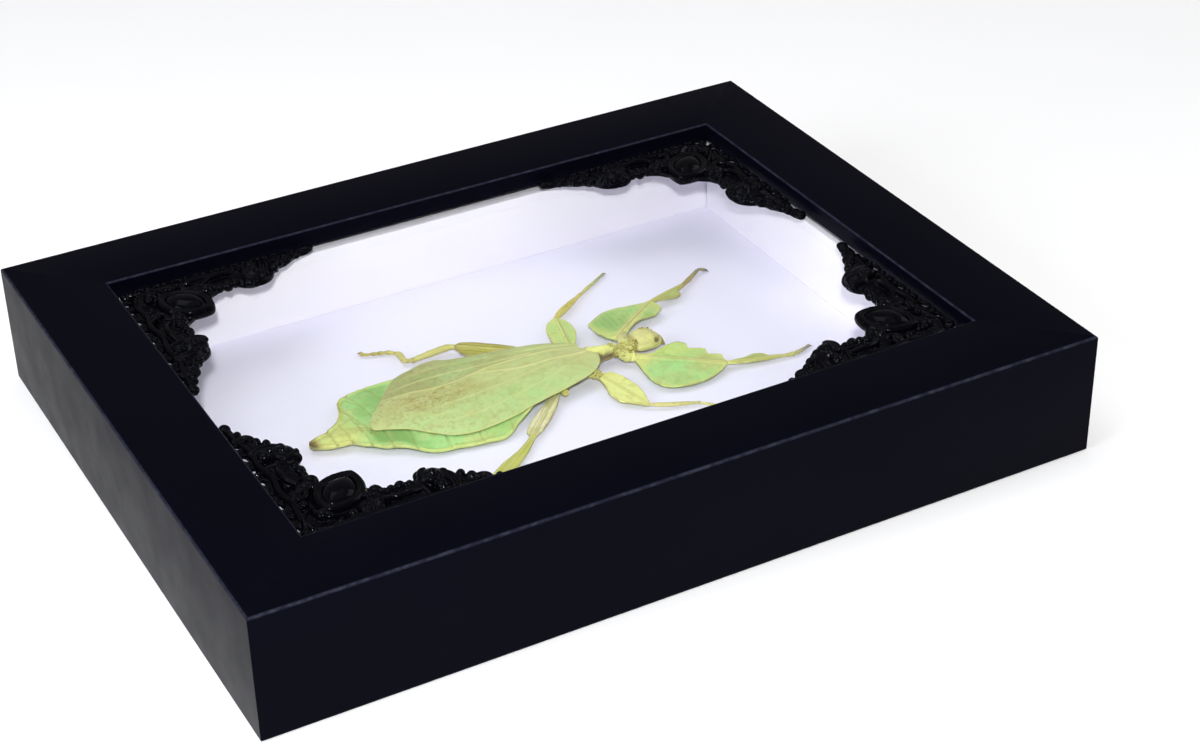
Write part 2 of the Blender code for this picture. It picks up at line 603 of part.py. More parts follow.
    blade("femur_right_hind", (4.3, -4.9, 7.9), (-11.0, -20.0, 7.5),
          [(0, 0.8), (6.0, 1.7), (14.0, 1.8), (21.92, 0.6)],
          [(0, 0.8), (6.0, 1.6), (14.0, 1.7), (21.92, 0.6)],
          olive, rib=0.7)
    tube("coxa_right_hind", [(4.9, -2.6, 8.4), (4.8, -3.3, 8.3), (4.7, -4.0, 8.1)],
         [0.8, 1.0, 0.6], olive)
    tube("tibia_right_hind",
         [(-11.3, -20.4, 7.4), (-14.6, -23.4, 7.3), (-18.6, -26.4, 7.4), (-22.6, -29.0, 7.3)],
         [0.5, 0.8, 1.0, 0.9], olive)
    tube("tarsus_right_hind",
         [(-23.0, -29.4, 7.0), (-26.4, -31.6, 6.9), (-29.8, -34.0, 6.85), (-33.0, -36.4, 6.8)],
         [0.5, 0.45, 0.4, 0.3], olive, sides=6)


def build_insect():
    leaf = material("leaf_green", (0.47, 0.6, 0.3), 0.55)
    flesh = material("body_yellow_green", (0.55, 0.6, 0.25), 0.6)
    olive = material("limb_olive", (0.5, 0.52, 0.16), 0.55)
    blade_green = material("blade_green", (0.4, 0.62, 0.32), 0.55)
    shell = material("head_tan", (0.6, 0.56, 0.26), 0.55)
    dark = material("eye_brown", (0.16, 0.12, 0.04), 0.25)
    build_abdomen(flesh)
    build_tegmen("tegmen_left", WING_UNDER, WING_FAR, lambda t: WING_LIFT, leaf)
    build_tegmen("tegmen_right", WING_NEAR, WING_SEAM,
                 lambda t: WING_LIFT + 1.0 * min(1.0, t * 2.4), leaf)
    build_trunk(flesh, shell, dark)
    build_legs(blade_green, olive)


clear_scene()
PARTS = bpy.data.collections.new(COLLECTION)
CUTTERS = bpy.data.collections.new(f"{COLLECTION}_cutters")
bpy.context.scene.collection.children.link(PARTS)
bpy.context.scene.collection.children.link(CUTTERS)

build_frame()
gloss = material("ornament_black", (0.008, 0.008, 0.01), 0.16)
for corner, sx, sy in (("ornament_back_left", -1, 1), ("ornament_back_right", 1, 1),
                       ("ornament_front_right", 1, -1), ("ornament_front_left", -1, -1)):
    build_ornament(corner, sx, sy, gloss)
build_insect()
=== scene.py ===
"""Looks of a mounted leaf insect in a black shadow-box frame that lies on its back."""

import math

import bmesh
import bpy
import numpy as np
from mathutils.bvhtree import BVHTree
from mathutils import Matrix, Quaternion, Vector, kdtree


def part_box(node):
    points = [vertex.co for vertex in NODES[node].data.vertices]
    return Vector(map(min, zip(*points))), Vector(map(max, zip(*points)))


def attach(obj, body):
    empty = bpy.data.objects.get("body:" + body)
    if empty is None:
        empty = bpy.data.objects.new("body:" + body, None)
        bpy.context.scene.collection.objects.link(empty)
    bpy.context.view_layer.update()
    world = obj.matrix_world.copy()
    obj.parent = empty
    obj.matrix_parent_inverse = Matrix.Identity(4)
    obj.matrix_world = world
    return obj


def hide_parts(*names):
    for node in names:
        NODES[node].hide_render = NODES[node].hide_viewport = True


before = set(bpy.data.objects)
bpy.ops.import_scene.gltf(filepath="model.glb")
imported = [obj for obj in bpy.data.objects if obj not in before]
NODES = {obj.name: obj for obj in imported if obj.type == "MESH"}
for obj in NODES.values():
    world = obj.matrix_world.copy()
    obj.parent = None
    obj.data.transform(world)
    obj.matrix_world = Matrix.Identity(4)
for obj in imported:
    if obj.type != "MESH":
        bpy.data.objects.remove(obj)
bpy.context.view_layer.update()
SCENE = bpy.context.scene
MM = 0.001

# ------------------------------------------------------------------ main sizes, mm
FRAME_L, FRAME_W, FRAME_H = 221.0, 170.0, 33.0
RAIL_W, LIP_H, RABBET = 21.5, 5.0, 6.0
WIN_X, WIN_Y = FRAME_L / 2 - RAIL_W, FRAME_W / 2 - RAIL_W
CARD_TOP = 6.0
PLATE_Z = 28.0           # the ornaments' flat backs
AXIS_Y = 2.6             # the insect's midline
HEAD_Y = 2.95


# ================================================================ small helpers
def srgb(r, g, b):
    """Linear colour of an 8-bit display colour."""
    out = []
    for c in (r, g, b):
        c /= 255.0
        out.append(c / 12.92 if c <= 0.04045 else ((c + 0.055) / 1.055) ** 2.4)
    return np.array(out)


def lerp(a, b, t):
    return a + (b - a) * t


def smooth(x, lo, hi):
    t = np.clip((np.asarray(x, float) - lo) / (hi - lo), 0, 1)
    return t * t * (3 - 2 * t)


class Line:
    """A smooth line y(x) through points, which never overshoots them."""

    def __init__(self, points):
        self.x = np.array([p[0] for p in points], float)
        self.y = np.array([p[1] for p in points], float)
        steps = np.diff(self.y) / np.diff(self.x)
        self.m = np.zeros(len(self.x))
        for i in range(1, len(self.x) - 1):
            if steps[i - 1] * steps[i] > 0:
                self.m[i] = 2 * steps[i - 1] * steps[i] / (steps[i - 1] + steps[i])
        self.m[0], self.m[-1] = steps[0], steps[-1]

    def __call__(self, x):
        x = np.clip(np.asarray(x, float), self.x[0], self.x[-1])
        i = np.clip(np.searchsorted(self.x, x, side="right") - 1, 0, len(self.x) - 2)
        h = self.x[i + 1] - self.x[i]
        t = (x - self.x[i]) / h
        return (
            (2 * t**3 - 3 * t**2 + 1) * self.y[i]
            + (t**3 - 2 * t**2 + t) * h * self.m[i]
            + (-2 * t**3 + 3 * t**2) * self.y[i + 1]
            + (t**3 - t**2) * h * self.m[i + 1]
        )


def lattice(ix, iy, iz, seed):
    n = (ix * 374761393 + iy * 668265263 + iz * 1442695041 + seed * 974634777) & 0xFFFFFFFF
    n = ((n ^ (n >> 13)) * 1274126177) & 0xFFFFFFFF
    n = n ^ (n >> 16)
    return (n & 0xFFFF) / 32767.5 - 1.0


def noise(p, size, seed=0, octaves=1):
    """Smooth value noise from -1 to 1 at points p, with lumps of about size."""
    p = np.asarray(p, float).reshape(-1, 3) / size
    total, amp, norm = np.zeros(len(p)), 1.0, 0.0
    for o in range(octaves):
        q = p * 2**o + o * 17.3
        base = np.floor(q).astype(np.int64)
        f = q - base
        f = f * f * (3 - 2 * f)
        acc = 0.0
        for dx in (0, 1):
            for dy in (0, 1):
                for dz in (0, 1):
                    w = (
                        (f[:, 0] if dx else 1 - f[:, 0])
                        * (f[:, 1] if dy else 1 - f[:, 1])
                        * (f[:, 2] if dz else 1 - f[:, 2])
                    )
                    acc = acc + w * lattice(base[:, 0] + dx, base[:, 1] + dy, base[:, 2] + dz, seed + o)
        total += amp * acc
        norm += amp
        amp *= 0.5
    return total / norm


def spline(points, count):
    """Points evenly spaced along a Catmull-Rom curve through the given ones."""
    p = np.array(points, float)
    p = np.vstack([2 * p[0] - p[1], p, 2 * p[-1] - p[-2]])
    fine = []
    for i in range(1, len(p) - 2):
        t = np.linspace(0, 1, 24, endpoint=False)[:, None]
        a, b, c, d = p[i - 1], p[i], p[i + 1], p[i + 2]
        fine.append(0.5 * ((2 * b) + (c - a) * t + (2 * a - 5 * b + 4 * c - d) * t**2
                           + (3 * b - a - 3 * c + d) * t**3))
    fine = np.vstack(fine + [p[-2:-1]])
    run = np.concatenate([[0], np.cumsum(np.linalg.norm(np.diff(fine[:, :3], axis=0), axis=1))])
    at = np.linspace(0, run[-1], count)
    return np.stack([np.interp(at, run, fine[:, k]) for k in range(p.shape[1])], 1)


def near_line(xy, points, count=80):
    """Distance in plan from each point to a smooth line, and how far along it that is."""
    q = spline(points, count)[:, :2]
    a, b = q[:-1], q[1:]
    best = np.full(len(xy), 1e9)
    where = np.zeros(len(xy))
    for k in range(len(a)):
        d = b[k] - a[k]
        t = np.clip(((xy - a[k]) @ d) / max(d @ d, 1e-9), 0, 1)
        dist = np.hypot(xy[:, 0] - a[k][0] - t * d[0], xy[:, 1] - a[k][1] - t * d[1])
        closer = dist < best
        best = np.where(closer, dist, best)
        where = np.where(closer, (k + t) / len(a), where)
    return best, where


# ================================================================ mesh pieces
class Piece:
    """Vertices in mm, faces and numbers held at the vertices."""

    def __init__(self, verts, faces, **values):
        self.v = np.asarray(verts, float).reshape(-1, 3)
        self.f = faces
        self.values = values

    def paint(self, **values):
        self.values.update(values)
        return self


def sheet(top, low):
    """A closed thin sheet between two grids of points of the same size."""
    nx, ny = top.shape[:2]
    count = nx * ny
    idx = np.arange(count).reshape(nx, ny)
    a, b, c, d = idx[:-1, :-1], idx[1:, :-1], idx[1:, 1:], idx[:-1, 1:]
    up = np.stack([a, b, c, d], -1).reshape(-1, 4)
    down = np.stack([a, d, c, b], -1).reshape(-1, 4) + count
    loop = np.concatenate([idx[:, 0], idx[-1, 1:], idx[-2::-1, -1], idx[0, -2:0:-1]])
    nxt = np.roll(loop, -1)
    side = np.stack([loop + count, nxt + count, nxt, loop], -1)
    faces = np.concatenate([up, down, side])
    verts = np.concatenate([top.reshape(-1, 3), low.reshape(-1, 3)])
    return verts, faces


def tube_skin(rings, closed_ends=True):
    """A closed skin through rings of points, with a point at the middle of each end."""
    rings = np.asarray(rings, float)
    n, m = rings.shape[:2]
    verts = rings.reshape(-1, 3)
    idx = np.arange(n * m).reshape(n, m)
    nxt = np.roll(idx, -1, axis=1)
    quads = np.stack([idx[:-1], nxt[:-1], nxt[1:], idx[1:]], -1).reshape(-1, 4)
    faces = [tuple(q) for q in quads]
    if closed_ends:
        first, last = len(verts), len(verts) + 1
        verts = np.vstack([verts, rings[0].mean(0), rings[-1].mean(0)])
        for k in range(m):
            faces.append((first, int(nxt[0, k]), int(idx[0, k])))
            faces.append((last, int(idx[-1, k]), int(nxt[-1, k])))
    return verts, faces


def limb(points, radii, sides=20, count=60, flat=1.0, bumps=0.0, seed=0):
    """A round limb along a smooth line. radii are (share of length, radius) pairs."""
    c = spline(points, count)
    s = np.linspace(0, 1, count)
    r = Line(radii)(s)
    d = np.gradient(c, axis=0)
    d /= np.linalg.norm(d, axis=1)[:, None]
    side = np.cross(d, [0, 0, 1.0])
    side /= np.linalg.norm(side, axis=1)[:, None]
    up = np.cross(side, d)
    a = 2 * np.pi * np.arange(sides) / sides
    rings = (
        c[:, None, :]
        + side[:, None, :] * (r[:, None] * np.cos(a))[..., None]
        + up[:, None, :] * (r[:, None] * flat * np.sin(a))[..., None]
    )
    if bumps:
        n = noise(rings.reshape(-1, 3), 0.45, seed).reshape(count, sides)
        rings += (rings - c[:, None, :]) * (bumps * n)[..., None]
    verts, faces = tube_skin(rings)
    share = np.concatenate([np.repeat(s, sides), [0, 1]])
    return Piece(verts, faces, share=share)


def ball(centre, size, turn=0.0, u=18, v=10, tilt=0.0):
    """An egg-shaped body turned about Z, and tilted about its own long side."""
    lat = np.linspace(-np.pi / 2, np.pi / 2, v + 1)[1:-1]
    a = 2 * np.pi * np.arange(u) / u
    rings = np.stack(
        [np.cos(lat)[:, None] * np.cos(a), np.cos(lat)[:, None] * np.sin(a),
         np.repeat(np.sin(lat)[:, None], u, 1)], -1)
    verts, faces = tube_skin(rings)
    verts[-2], verts[-1] = (0, 0, -1), (0, 0, 1)
    verts = verts * np.array(size, float)
    m = np.array(Matrix.Rotation(math.radians(turn), 3, "Z") @ Matrix.Rotation(math.radians(tilt), 3, "Y"))
    return Piece(verts @ m.T + np.array(centre, float), faces)


def join(pieces):
    verts, faces, start = [], [], 0
    keys = set().union(*[set(p.values) for p in pieces]) if pieces else set()
    values = {k: [] for k in keys}
    for p in pieces:
        verts.append(p.v)
        faces += [tuple(int(i) + start for i in f) for f in p.f]
        start += len(p.v)
        for k in keys:
            have = p.values.get(k)
            if have is None:
                have = np.zeros((len(p.v), 3)) if k == "tone" else np.zeros(len(p.v))
            values[k].append(np.asarray(have, float))
    return Piece(np.vstack(verts), faces, **{k: np.concatenate(v) for k, v in values.items()})


def to_mesh(name, piece, scale=MM):
    mesh = bpy.data.meshes.new(name)
    mesh.from_pydata((piece.v * scale).tolist(), [], [tuple(int(i) for i in f) for f in piece.f])
    mesh.update()
    bm = bmesh.new()
    bm.from_mesh(mesh)
    if bm.calc_volume(signed=True) < 0:
        bmesh.ops.reverse_faces(bm, faces=bm.faces[:])
        bm.to_mesh(mesh)
    bm.free()
    return mesh


def put_values(mesh, values):
    for key, value in values.items():
        value = np.asarray(value, np.float32)
        if key == "tone":
            layer = mesh.color_attributes.new(name=key, type="FLOAT_COLOR", domain="POINT")
            rgba = np.ones((len(value), 4), np.float32)
            rgba[:, :3] = value
            layer.data.foreach_set("color", rgba.ravel())
        elif key != "share":
            layer = mesh.attributes.new(name=key, type="FLOAT", domain="POINT")
            layer.data.foreach_set("value", value)


def show(name, piece, mat, replaces=(), angle=None):
    """Adds a piece to the scene, riding on the frame."""
    mesh = piece if isinstance(piece, bpy.types.Mesh) else to_mesh(name, piece)
    if isinstance(piece, Piece):
        put_values(mesh, piece.values)
    mesh.name = name
    obj = bpy.data.objects.new(name, mesh)
    SCENE.collection.objects.link(obj)
    mesh.materials.clear()
    mesh.materials.append(mat)
    mesh.shade_smooth()
    if angle:
        mesh.set_sharp_from_angle(angle=math.radians(angle))
    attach(obj, "root")
    if replaces:
        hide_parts(*replaces)
    return obj


def evaluated(piece, build):
    """The mesh of a piece, kept in mm, after the modifiers that build adds."""
    mesh = piece if isinstance(piece, bpy.types.Mesh) else to_mesh("working", piece, 1.0)
    obj = bpy.data.objects.new("working", mesh)
    SCENE.collection.objects.link(obj)
    helpers = build(obj) or []
    bpy.context.view_layer.update()
    graph = bpy.context.evaluated_depsgraph_get()
    made = bpy.data.meshes.new_from_object(obj.evaluated_get(graph))
    for o in [obj, *helpers]:
        bpy.data.objects.remove(o, do_unlink=True)
    return made


def remeshed(piece, voxel, smoothing=2):
    def build(obj):
        m = obj.modifiers.new("fuse", "REMESH")
        m.mode = "VOXEL"
        m.voxel_size = voxel
        m.use_smooth_shade = True
        if smoothing:
            s = obj.modifiers.new("soften", "SMOOTH")
            s.factor = 0.5
            s.iterations = smoothing
    return evaluated(piece, build)


def coords(mesh):
    co = np.empty(len(mesh.vertices) * 3, np.float32)
    mesh.vertices.foreach_get("co", co)
    return co.reshape(-1, 3).astype(float)


def set_coords(mesh, co):
    mesh.vertices.foreach_set("co", np.asarray(co, np.float32).ravel())
    mesh.update()


# ================================================================ material helpers
class Nodes:
    """Short names for making one node material."""

    def __init__(self, name, roughness=0.5, specular=0.5, metallic=0.0):
        self.mat = bpy.data.materials.new(name)
        self.mat.use_nodes = True
        self.tree = self.mat.node_tree
        self.shader = self.tree.nodes["Principled BSDF"]
        self.output = self.tree.nodes["Material Output"]
        self.set("Roughness", roughness)
        self.set("Specular IOR Level", specular)
        self.set("Metallic", metallic)
        self.where = self.new("ShaderNodeTexCoord").outputs["Object"]

    def new(self, kind, **values):
        node = self.tree.nodes.new(kind)
        for k, v in values.items():
            setattr(node, k, v)
        return node

    def link(self, a, b):
        self.tree.links.new(a, b)

    def put(self, socket, value):
        if isinstance(value, bpy.types.NodeSocket):
            self.link(value, socket)
        elif isinstance(value, (tuple, list, np.ndarray)):
            value = [float(x) for x in value]
            size = len(socket.default_value)
            socket.default_value = (value + [1.0] * size)[:size]
        else:
            socket.default_value = value

    def set(self, name, value):
        self.put(self.shader.inputs[name], value)

    def scaled(self, x=1.0, y=1.0, z=1.0, source=None, turn=0.0):
        """Object coordinates in mm times a factor along each axis."""
        node = self.new("ShaderNodeMapping")
        self.link(source or self.where, node.inputs["Vector"])
        node.inputs["Scale"].default_value = (1000 * x, 1000 * y, 1000 * z)
        node.inputs["Rotation"].default_value = (0, 0, math.radians(turn))
        return node.outputs["Vector"]

    def noise(self, size=1.0, detail=3.0, rough=0.55, vector=None, distortion=0.0):
        """Noise from 0 to 1 with lumps of about size mm."""
        node = self.new("ShaderNodeTexNoise")
        self.link(vector or self.scaled(), node.inputs["Vector"])
        node.inputs["Scale"].default_value = 1.0 / size
        node.inputs["Detail"].default_value = detail
        node.inputs["Roughness"].default_value = rough
        node.inputs["Distortion"].default_value = distortion
        return node.outputs["Fac"]

    def cells(self, size=1.0, feature="F1", vector=None, out="Distance"):
        node = self.new("ShaderNodeTexVoronoi", feature=feature)
        self.link(vector or self.scaled(), node.inputs["Vector"])
        node.inputs["Scale"].default_value = 1.0 / size
        return node.outputs[out]

    def attr(self, name, out="Fac"):
        node = self.new("ShaderNodeAttribute", attribute_name=name)
        return node.outputs[out]

    def math(self, op, a, b=0.0, c=0.0, clamp=False):
        node = self.new("ShaderNodeMath", operation=op, use_clamp=clamp)
        for socket, value in zip(node.inputs, (a, b, c)):
            self.put(socket, value)
        return node.outputs[0]

    def range(self, value, a, b, c=0.0, d=1.0):
        node = self.new("ShaderNodeMapRange", interpolation_type="SMOOTHSTEP")
        for name, v in zip(("Value", "From Min", "From Max", "To Min", "To Max"), (value, a, b, c, d)):
            self.put(node.inputs[name], v)
        return node.outputs["Result"]

    def mix(self, fac, a, b, mode="MIX"):
        node = self.new("ShaderNodeMix", data_type="RGBA", blend_type=mode)
        self.put(node.inputs["Factor"], fac)
        self.put(node.inputs[6], a)
        self.put(node.inputs[7], b)
        return node.outputs[2]

    def bump(self, height, mm=0.05, strength=1.0, normal=None):
        node = self.new("ShaderNodeBump")
        self.link(height, node.inputs["Height"])
        node.inputs["Distance"].default_value = mm * MM
        node.inputs["Strength"].default_value = strength
        if normal is not None:
            self.link(normal, node.inputs["Normal"])
        return node.outputs["Normal"]


# ================================================================ frame materials
def frame_paint():
    n = Nodes("frame_black_paint", specular=0.5)
    n.set("IOR", 1.09)
    n.set("Specular Tint", (0.82, 0.87, 1.0))
    arris = n.attr("arris")
    fine = n.noise(0.35, 3)
    broad = n.noise(28, 2)
    rub = n.range(n.noise(2.2, 4, 0.65), 0.35, 0.75)
    base = n.mix(broad, (0.0011, 0.0011, 0.0034), (0.0018, 0.0018, 0.0052))
    # Lighter colour on the arrises: partly rubbed wear, partly a painted highlight along the top edges.
    edge_wear_and_highlight = n.mix(rub, (0.012, 0.013, 0.024), (0.035, 0.037, 0.055))
    n.set("Base Color", n.mix(n.math("MULTIPLY", arris, 0.9, clamp=True), base, edge_wear_and_highlight))
    n.set("Roughness", n.range(n.noise(9, 3), 0.2, 0.8, 0.29, 0.37))
    n.set("Normal", n.bump(fine, 0.012, 0.5))
    return n.mat


def glass_material():
    n = Nodes("clear_glass", roughness=0.0)
    n.tree.nodes.remove(n.shader)
    clear = n.new("ShaderNodeBsdfTransparent")
    clear.inputs["Color"].default_value = (0.982, 0.99, 0.988, 1)
    gloss = n.new("ShaderNodeBsdfGlossy")
    gloss.inputs["Roughness"].default_value = 0.0
    gloss.inputs["Color"].default_value = (1, 1, 1, 1)
    fresnel = n.new("ShaderNodeFresnel")
    fresnel.inputs["IOR"].default_value = 1.5
    back = n.new("ShaderNodeNewGeometry").outputs["Backfacing"]
    front = n.math("SUBTRACT", 1.0, back)
    both = n.math("MULTIPLY", fresnel.outputs[0], 1.15, clamp=True)
    smudge = n.range(n.noise(16, 4, 0.6), 0.42, 0.8, 0.96, 1.05)
    fac = n.math("MULTIPLY", n.math("MULTIPLY", both, front), smudge, clamp=True)
    mix = n.new("ShaderNodeMixShader")
    n.put(mix.inputs[0], fac)
    n.link(clear.outputs[0], mix.inputs[1])
    n.link(gloss.outputs[0], mix.inputs[2])
    n.link(mix.outputs[0], n.output.inputs["Surface"])
    return n.mat


def card_material():
    n = Nodes("white_card", roughness=0.9, specular=0.2)
    tone = n.noise(45, 2)
    fibre = n.noise(0.5, 5, 0.7)
    col = n.mix(tone, (0.82, 0.797, 0.94), (0.85, 0.827, 0.96))
    n.set("Base Color", n.mix(n.range(fibre, 0.3, 0.8), col, (0.84, 0.817, 0.95)))
    n.set("Roughness", n.range(fibre, 0.2, 0.8, 0.82, 0.95))
    n.set("Normal", n.bump(fibre, 0.02, 0.35))
    return n.mat


def liner_material():
    n = Nodes("white_foam_board", roughness=0.85, specular=0.2)
    tone = n.noise(30, 2)
    grain = n.noise(0.4, 4, 0.6)
    n.set("Base Color", n.mix(tone, (0.905, 0.875, 0.94), (0.945, 0.915, 0.97)))
    n.set("Roughness", n.range(grain, 0.2, 0.8, 0.78, 0.92))
    n.set("Normal", n.bump(grain, 0.02, 0.3))
    return n.mat


def board_material():
    n = Nodes("brown_hardboard", roughness=0.75, specular=0.25)
    felt = n.noise(0.9, 6, 0.75)
    streak = n.noise(2.0, 5, 0.6, vector=n.scaled(0.12, 1, 1))
    weave = n.cells(0.9)
    col = n.mix(felt, (0.16, 0.094, 0.052), (0.31, 0.2, 0.12))
    col = n.mix(n.math("MULTIPLY", n.range(streak, 0.45, 0.8), 0.5), col, (0.22, 0.14, 0.085))
    n.set("Base Color", n.mix(n.math("MULTIPLY", n.noise(35, 2), 0.5), col, (0.2, 0.125, 0.075)))
    n.set("Roughness", n.range(felt, 0.2, 0.8, 0.62, 0.85))
    n.set("Normal", n.bump(n.math("ADD", felt, n.math("MULTIPLY", weave, 0.5)), 0.07, 0.6))
    return n.mat


def steel_material():
    n = Nodes("zinc_plated_steel", metallic=1.0)
    brush = n.noise(0.35, 4, 0.6, vector=n.scaled(1, 0.05, 1))
    spangle = n.cells(2.4, out="Color")
    base = n.mix(n.noise(4, 3), (0.42, 0.43, 0.45), (0.6, 0.6, 0.6))
    n.set("Base Color", n.mix(0.12, base, spangle, "SOFT_LIGHT"))
    n.set("Roughness", n.range(brush, 0.2, 0.8, 0.28, 0.48))
    n.set("Normal", n.bump(brush, 0.012, 0.5))
    return n.mat


def ornament_material():
    n = Nodes("black_cast_gloss", specular=0.5)
    n.set("IOR", 1.15)
    n.set("Specular Tint", (0.82, 0.86, 1.0))
    pit = n.noise(0.8, 4, 0.6)
    wave = n.noise(3.0, 2)
    n.set("Base Color", n.mix(n.range(pit, 0.3, 0.8), (0.0009, 0.0009, 0.0016), (0.0022, 0.0022, 0.0036)))
    n.set("Roughness", n.range(wave, 0.25, 0.8, 0.07, 0.14))
    n.set("Normal", n.bump(n.math("ADD", pit, n.math("MULTIPLY", wave, 1.5)), 0.03, 0.45))
    return n.mat


# ================================================================ the frame
def rounded(corner_from, corner, corner_to, r, steps=5):
    """Points round a corner of an outline, eased with radius r."""
    a = np.array(corner_from, float) - corner
    b = np.array(corner_to, float) - corner
    a, b = a / np.linalg.norm(a), b / np.linalg.norm(b)
    start, end = corner + a * r, corner + b * r
    t = np.linspace(0, 1, steps + 1)[:, None]
    k = 1 - 0.5523 * 1.05
    c1, c2 = corner + a * r * k, corner + b * r * k
    return (1 - t) ** 3 * start + 3 * (1 - t) ** 2 * t * c1 + 3 * (1 - t) * t**2 * c2 + t**3 * end


def rail_profile():
    """Section of the moulding: distance in from the outer face, height, and the arris share that gets the lighter edge
    colour, partly wear and partly painted highlight.
    """
    under = RAIL_W - RABBET
    lip = FRAME_H - LIP_H
    corners = [
        (0.0, 0.0, 0.5), (under, 0.0, 0.3), (under, lip, 0.0), (RAIL_W, lip, 0.25),
        (RAIL_W, FRAME_H, 0.55), (0.0, FRAME_H, 0.7),
    ]
    points, edge_wear_and_highlight = [], []
    for i, (x, z, r) in enumerate(corners):
        here = np.array([x, z], float)
        if r == 0:
            points.append(here[None])
            edge_wear_and_highlight.append(np.zeros(1))
            continue
        before = corners[i - 1][:2]
        after = corners[(i + 1) % len(corners)][:2]
        curve = rounded(before, here, after, r)
        points.append(curve)
        # The two top edges and the outer bottom edge get the lighter edge colour: wear, and on the top edges a painted
        # highlight.
        edge_wear_and_highlight.append(np.sin(np.linspace(0, np.pi, len(curve))) if i >= 4 or i == 0 else np.zeros(len(curve)))
    return np.vstack(points), np.concatenate(edge_wear_and_highlight)


def build_rails(mat):
    profile, edge_wear_and_highlight = rail_profile()
    joint = 0.05
    for name, length, turn, reach in (
        ("rail_front", FRAME_L, 0, FRAME_W / 2), ("rail_right", FRAME_W, 90, FRAME_L / 2),
        ("rail_back", FRAME_L, 180, FRAME_W / 2), ("rail_left", FRAME_W, 270, FRAME_L / 2),
    ):
        count = 45
        rings, arris = [], []
        for s in np.linspace(-1, 1, count):
            # Each station runs to the mitre planes at the two ends.
            ring = np.empty((len(profile), 3))
            ring[:, 0] = s * (length / 2 - profile[:, 0] - joint)
            ring[:, 1] = -reach + profile[:, 0]
            ring[:, 2] = profile[:, 1]
            rings.append(ring)
            arris.append(edge_wear_and_highlight)
        rings = np.array(rings)
        verts, faces = tube_skin(rings, closed_ends=False)
        faces.append(tuple(range(len(profile))))
        faces.append(tuple(range(len(verts) - 1, len(verts) - len(profile) - 1, -1)))
        m = np.array(Matrix.Rotation(math.radians(turn), 3, "Z"))
        piece = Piece(verts @ m.T, faces, arris=np.concatenate(arris))
        show(f"{name}_moulding", piece, mat, (name,), angle=40)


def build_liner(mat):
    """Foam strips that stand on the card, with soft edges."""
    for side in ("back", "front", "left", "right"):
        low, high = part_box(f"liner_{side}")
        low, high = np.array(low) * 1000, np.array(high) * 1000
        low[2] = CARD_TOP + 0.03
        bm = bmesh.new()
        bmesh.ops.create_cube(bm, size=1.0)
        size, mid = high - low, (high + low) / 2
        for v in bm.verts:
            v.co = Vector([mid[k] + v.co[k] * size[k] for k in range(3)])
        bmesh.ops.bevel(bm, geom=bm.edges[:], offset=0.14, segments=2, affect="EDGES", profile=0.5)
        verts = np.array([v.co[:] for v in bm.verts])
        index = {v: i for i, v in enumerate(bm.verts)}
        faces = [tuple(index[v] for v in f.verts) for f in bm.faces]
        bm.free()
        show(f"liner_{side}_strip", Piece(verts, faces), mat, (f"liner_{side}",), angle=50)


def build_tabs(mat):
    """Bent spring tabs that hold the back board in the rabbet."""
    for name in ("tab_back_a", "tab_back_b", "tab_front_a", "tab_front_b"):
        low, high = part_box(name)
        low, high = np.array(low) * 1000, np.array(high) * 1000
        sign = 1 if (low[1] + high[1]) > 0 else -1
        length, width = high[1] - low[1], high[0] - low[0]
        mid = (low + high) / 2
        n, m = 60, 31
        s = np.linspace(0, 1, n)
        c = np.linspace(-1, 1, m)
        end = np.clip((1 - s) / 0.34, 0, 1)
        half = width / 2 * np.where(end < 1, np.sqrt(np.clip(1 - (1 - end) ** 2, 0, 1)) * 0.98 + 0.02, 1)
        y = sign * (length / 2 - s * length)
        bead = 0.16 * np.exp(-(c[None, :] * half[:, None] / 0.9) ** 2) * smooth(s, 0.12, 0.25)[:, None] * (
            1 - smooth(s, 0.72, 0.85))[:, None]
        rise = 0.1 * smooth(s, 0.85, 1.0)[:, None]
        base = -0.3 + rise + np.zeros((n, m))
        x = half[:, None] * c[None, :]
        yy = np.repeat(y[:, None], m, 1)
        top = np.stack([mid[0] + x, mid[1] + yy, mid[2] + base + 0.42 + bead * 0.4], -1)
        bot = np.stack([mid[0] + x, mid[1] + yy, mid[2] + base + bead * 0.4], -1)
        if sign > 0:
            top, bot = top[::-1], bot[::-1]
        verts, faces = sheet(top, bot)
        show(f"{name}_spring", Piece(verts, faces), mat, (name,), angle=40)


# ================================================================ corner ornaments
def ring_tube(u, v, z, a, b, r, turn=0.0, point=1.0, sides=10, count=64, squash=1.0):
    """An oval ring. point above 1 draws its ends out."""
    t = 2 * np.pi * np.arange(count) / count
    x, y = a * np.cos(t), b * np.sign(np.sin(t)) * np.abs(np.sin(t)) ** point
    ca, sa = math.cos(math.radians(turn)), math.sin(math.radians(turn))
    c = np.stack([u + x * ca - y * sa, v + x * sa + y * ca, np.full(count, z)], 1)
    d = np.roll(c, -1, 0) - np.roll(c, 1, 0)
    d /= np.linalg.norm(d, axis=1)[:, None]
    side = np.cross(d, [0, 0, 1.0])
    k = 2 * np.pi * np.arange(sides) / sides
    rings = c[:, None] + side[:, None] * (r * np.cos(k))[None, :, None] + np.array([0, 0, 1.0]) * (
        r * squash * np.sin(k))[None, :, None]
    idx = np.arange(count * sides).reshape(count, sides)
    nxt, down = np.roll(idx, -1, 1), np.roll(idx, -1, 0)
    quads = np.stack([idx, nxt, np.roll(down, -1, 1), down], -1).reshape(-1, 4)
    return Piece(rings.reshape(-1, 3), quads)


def vine(points, radii, sides=10, count=40, flat=1.0):
    return limb(points, radii, sides=sides, count=count, flat=flat)


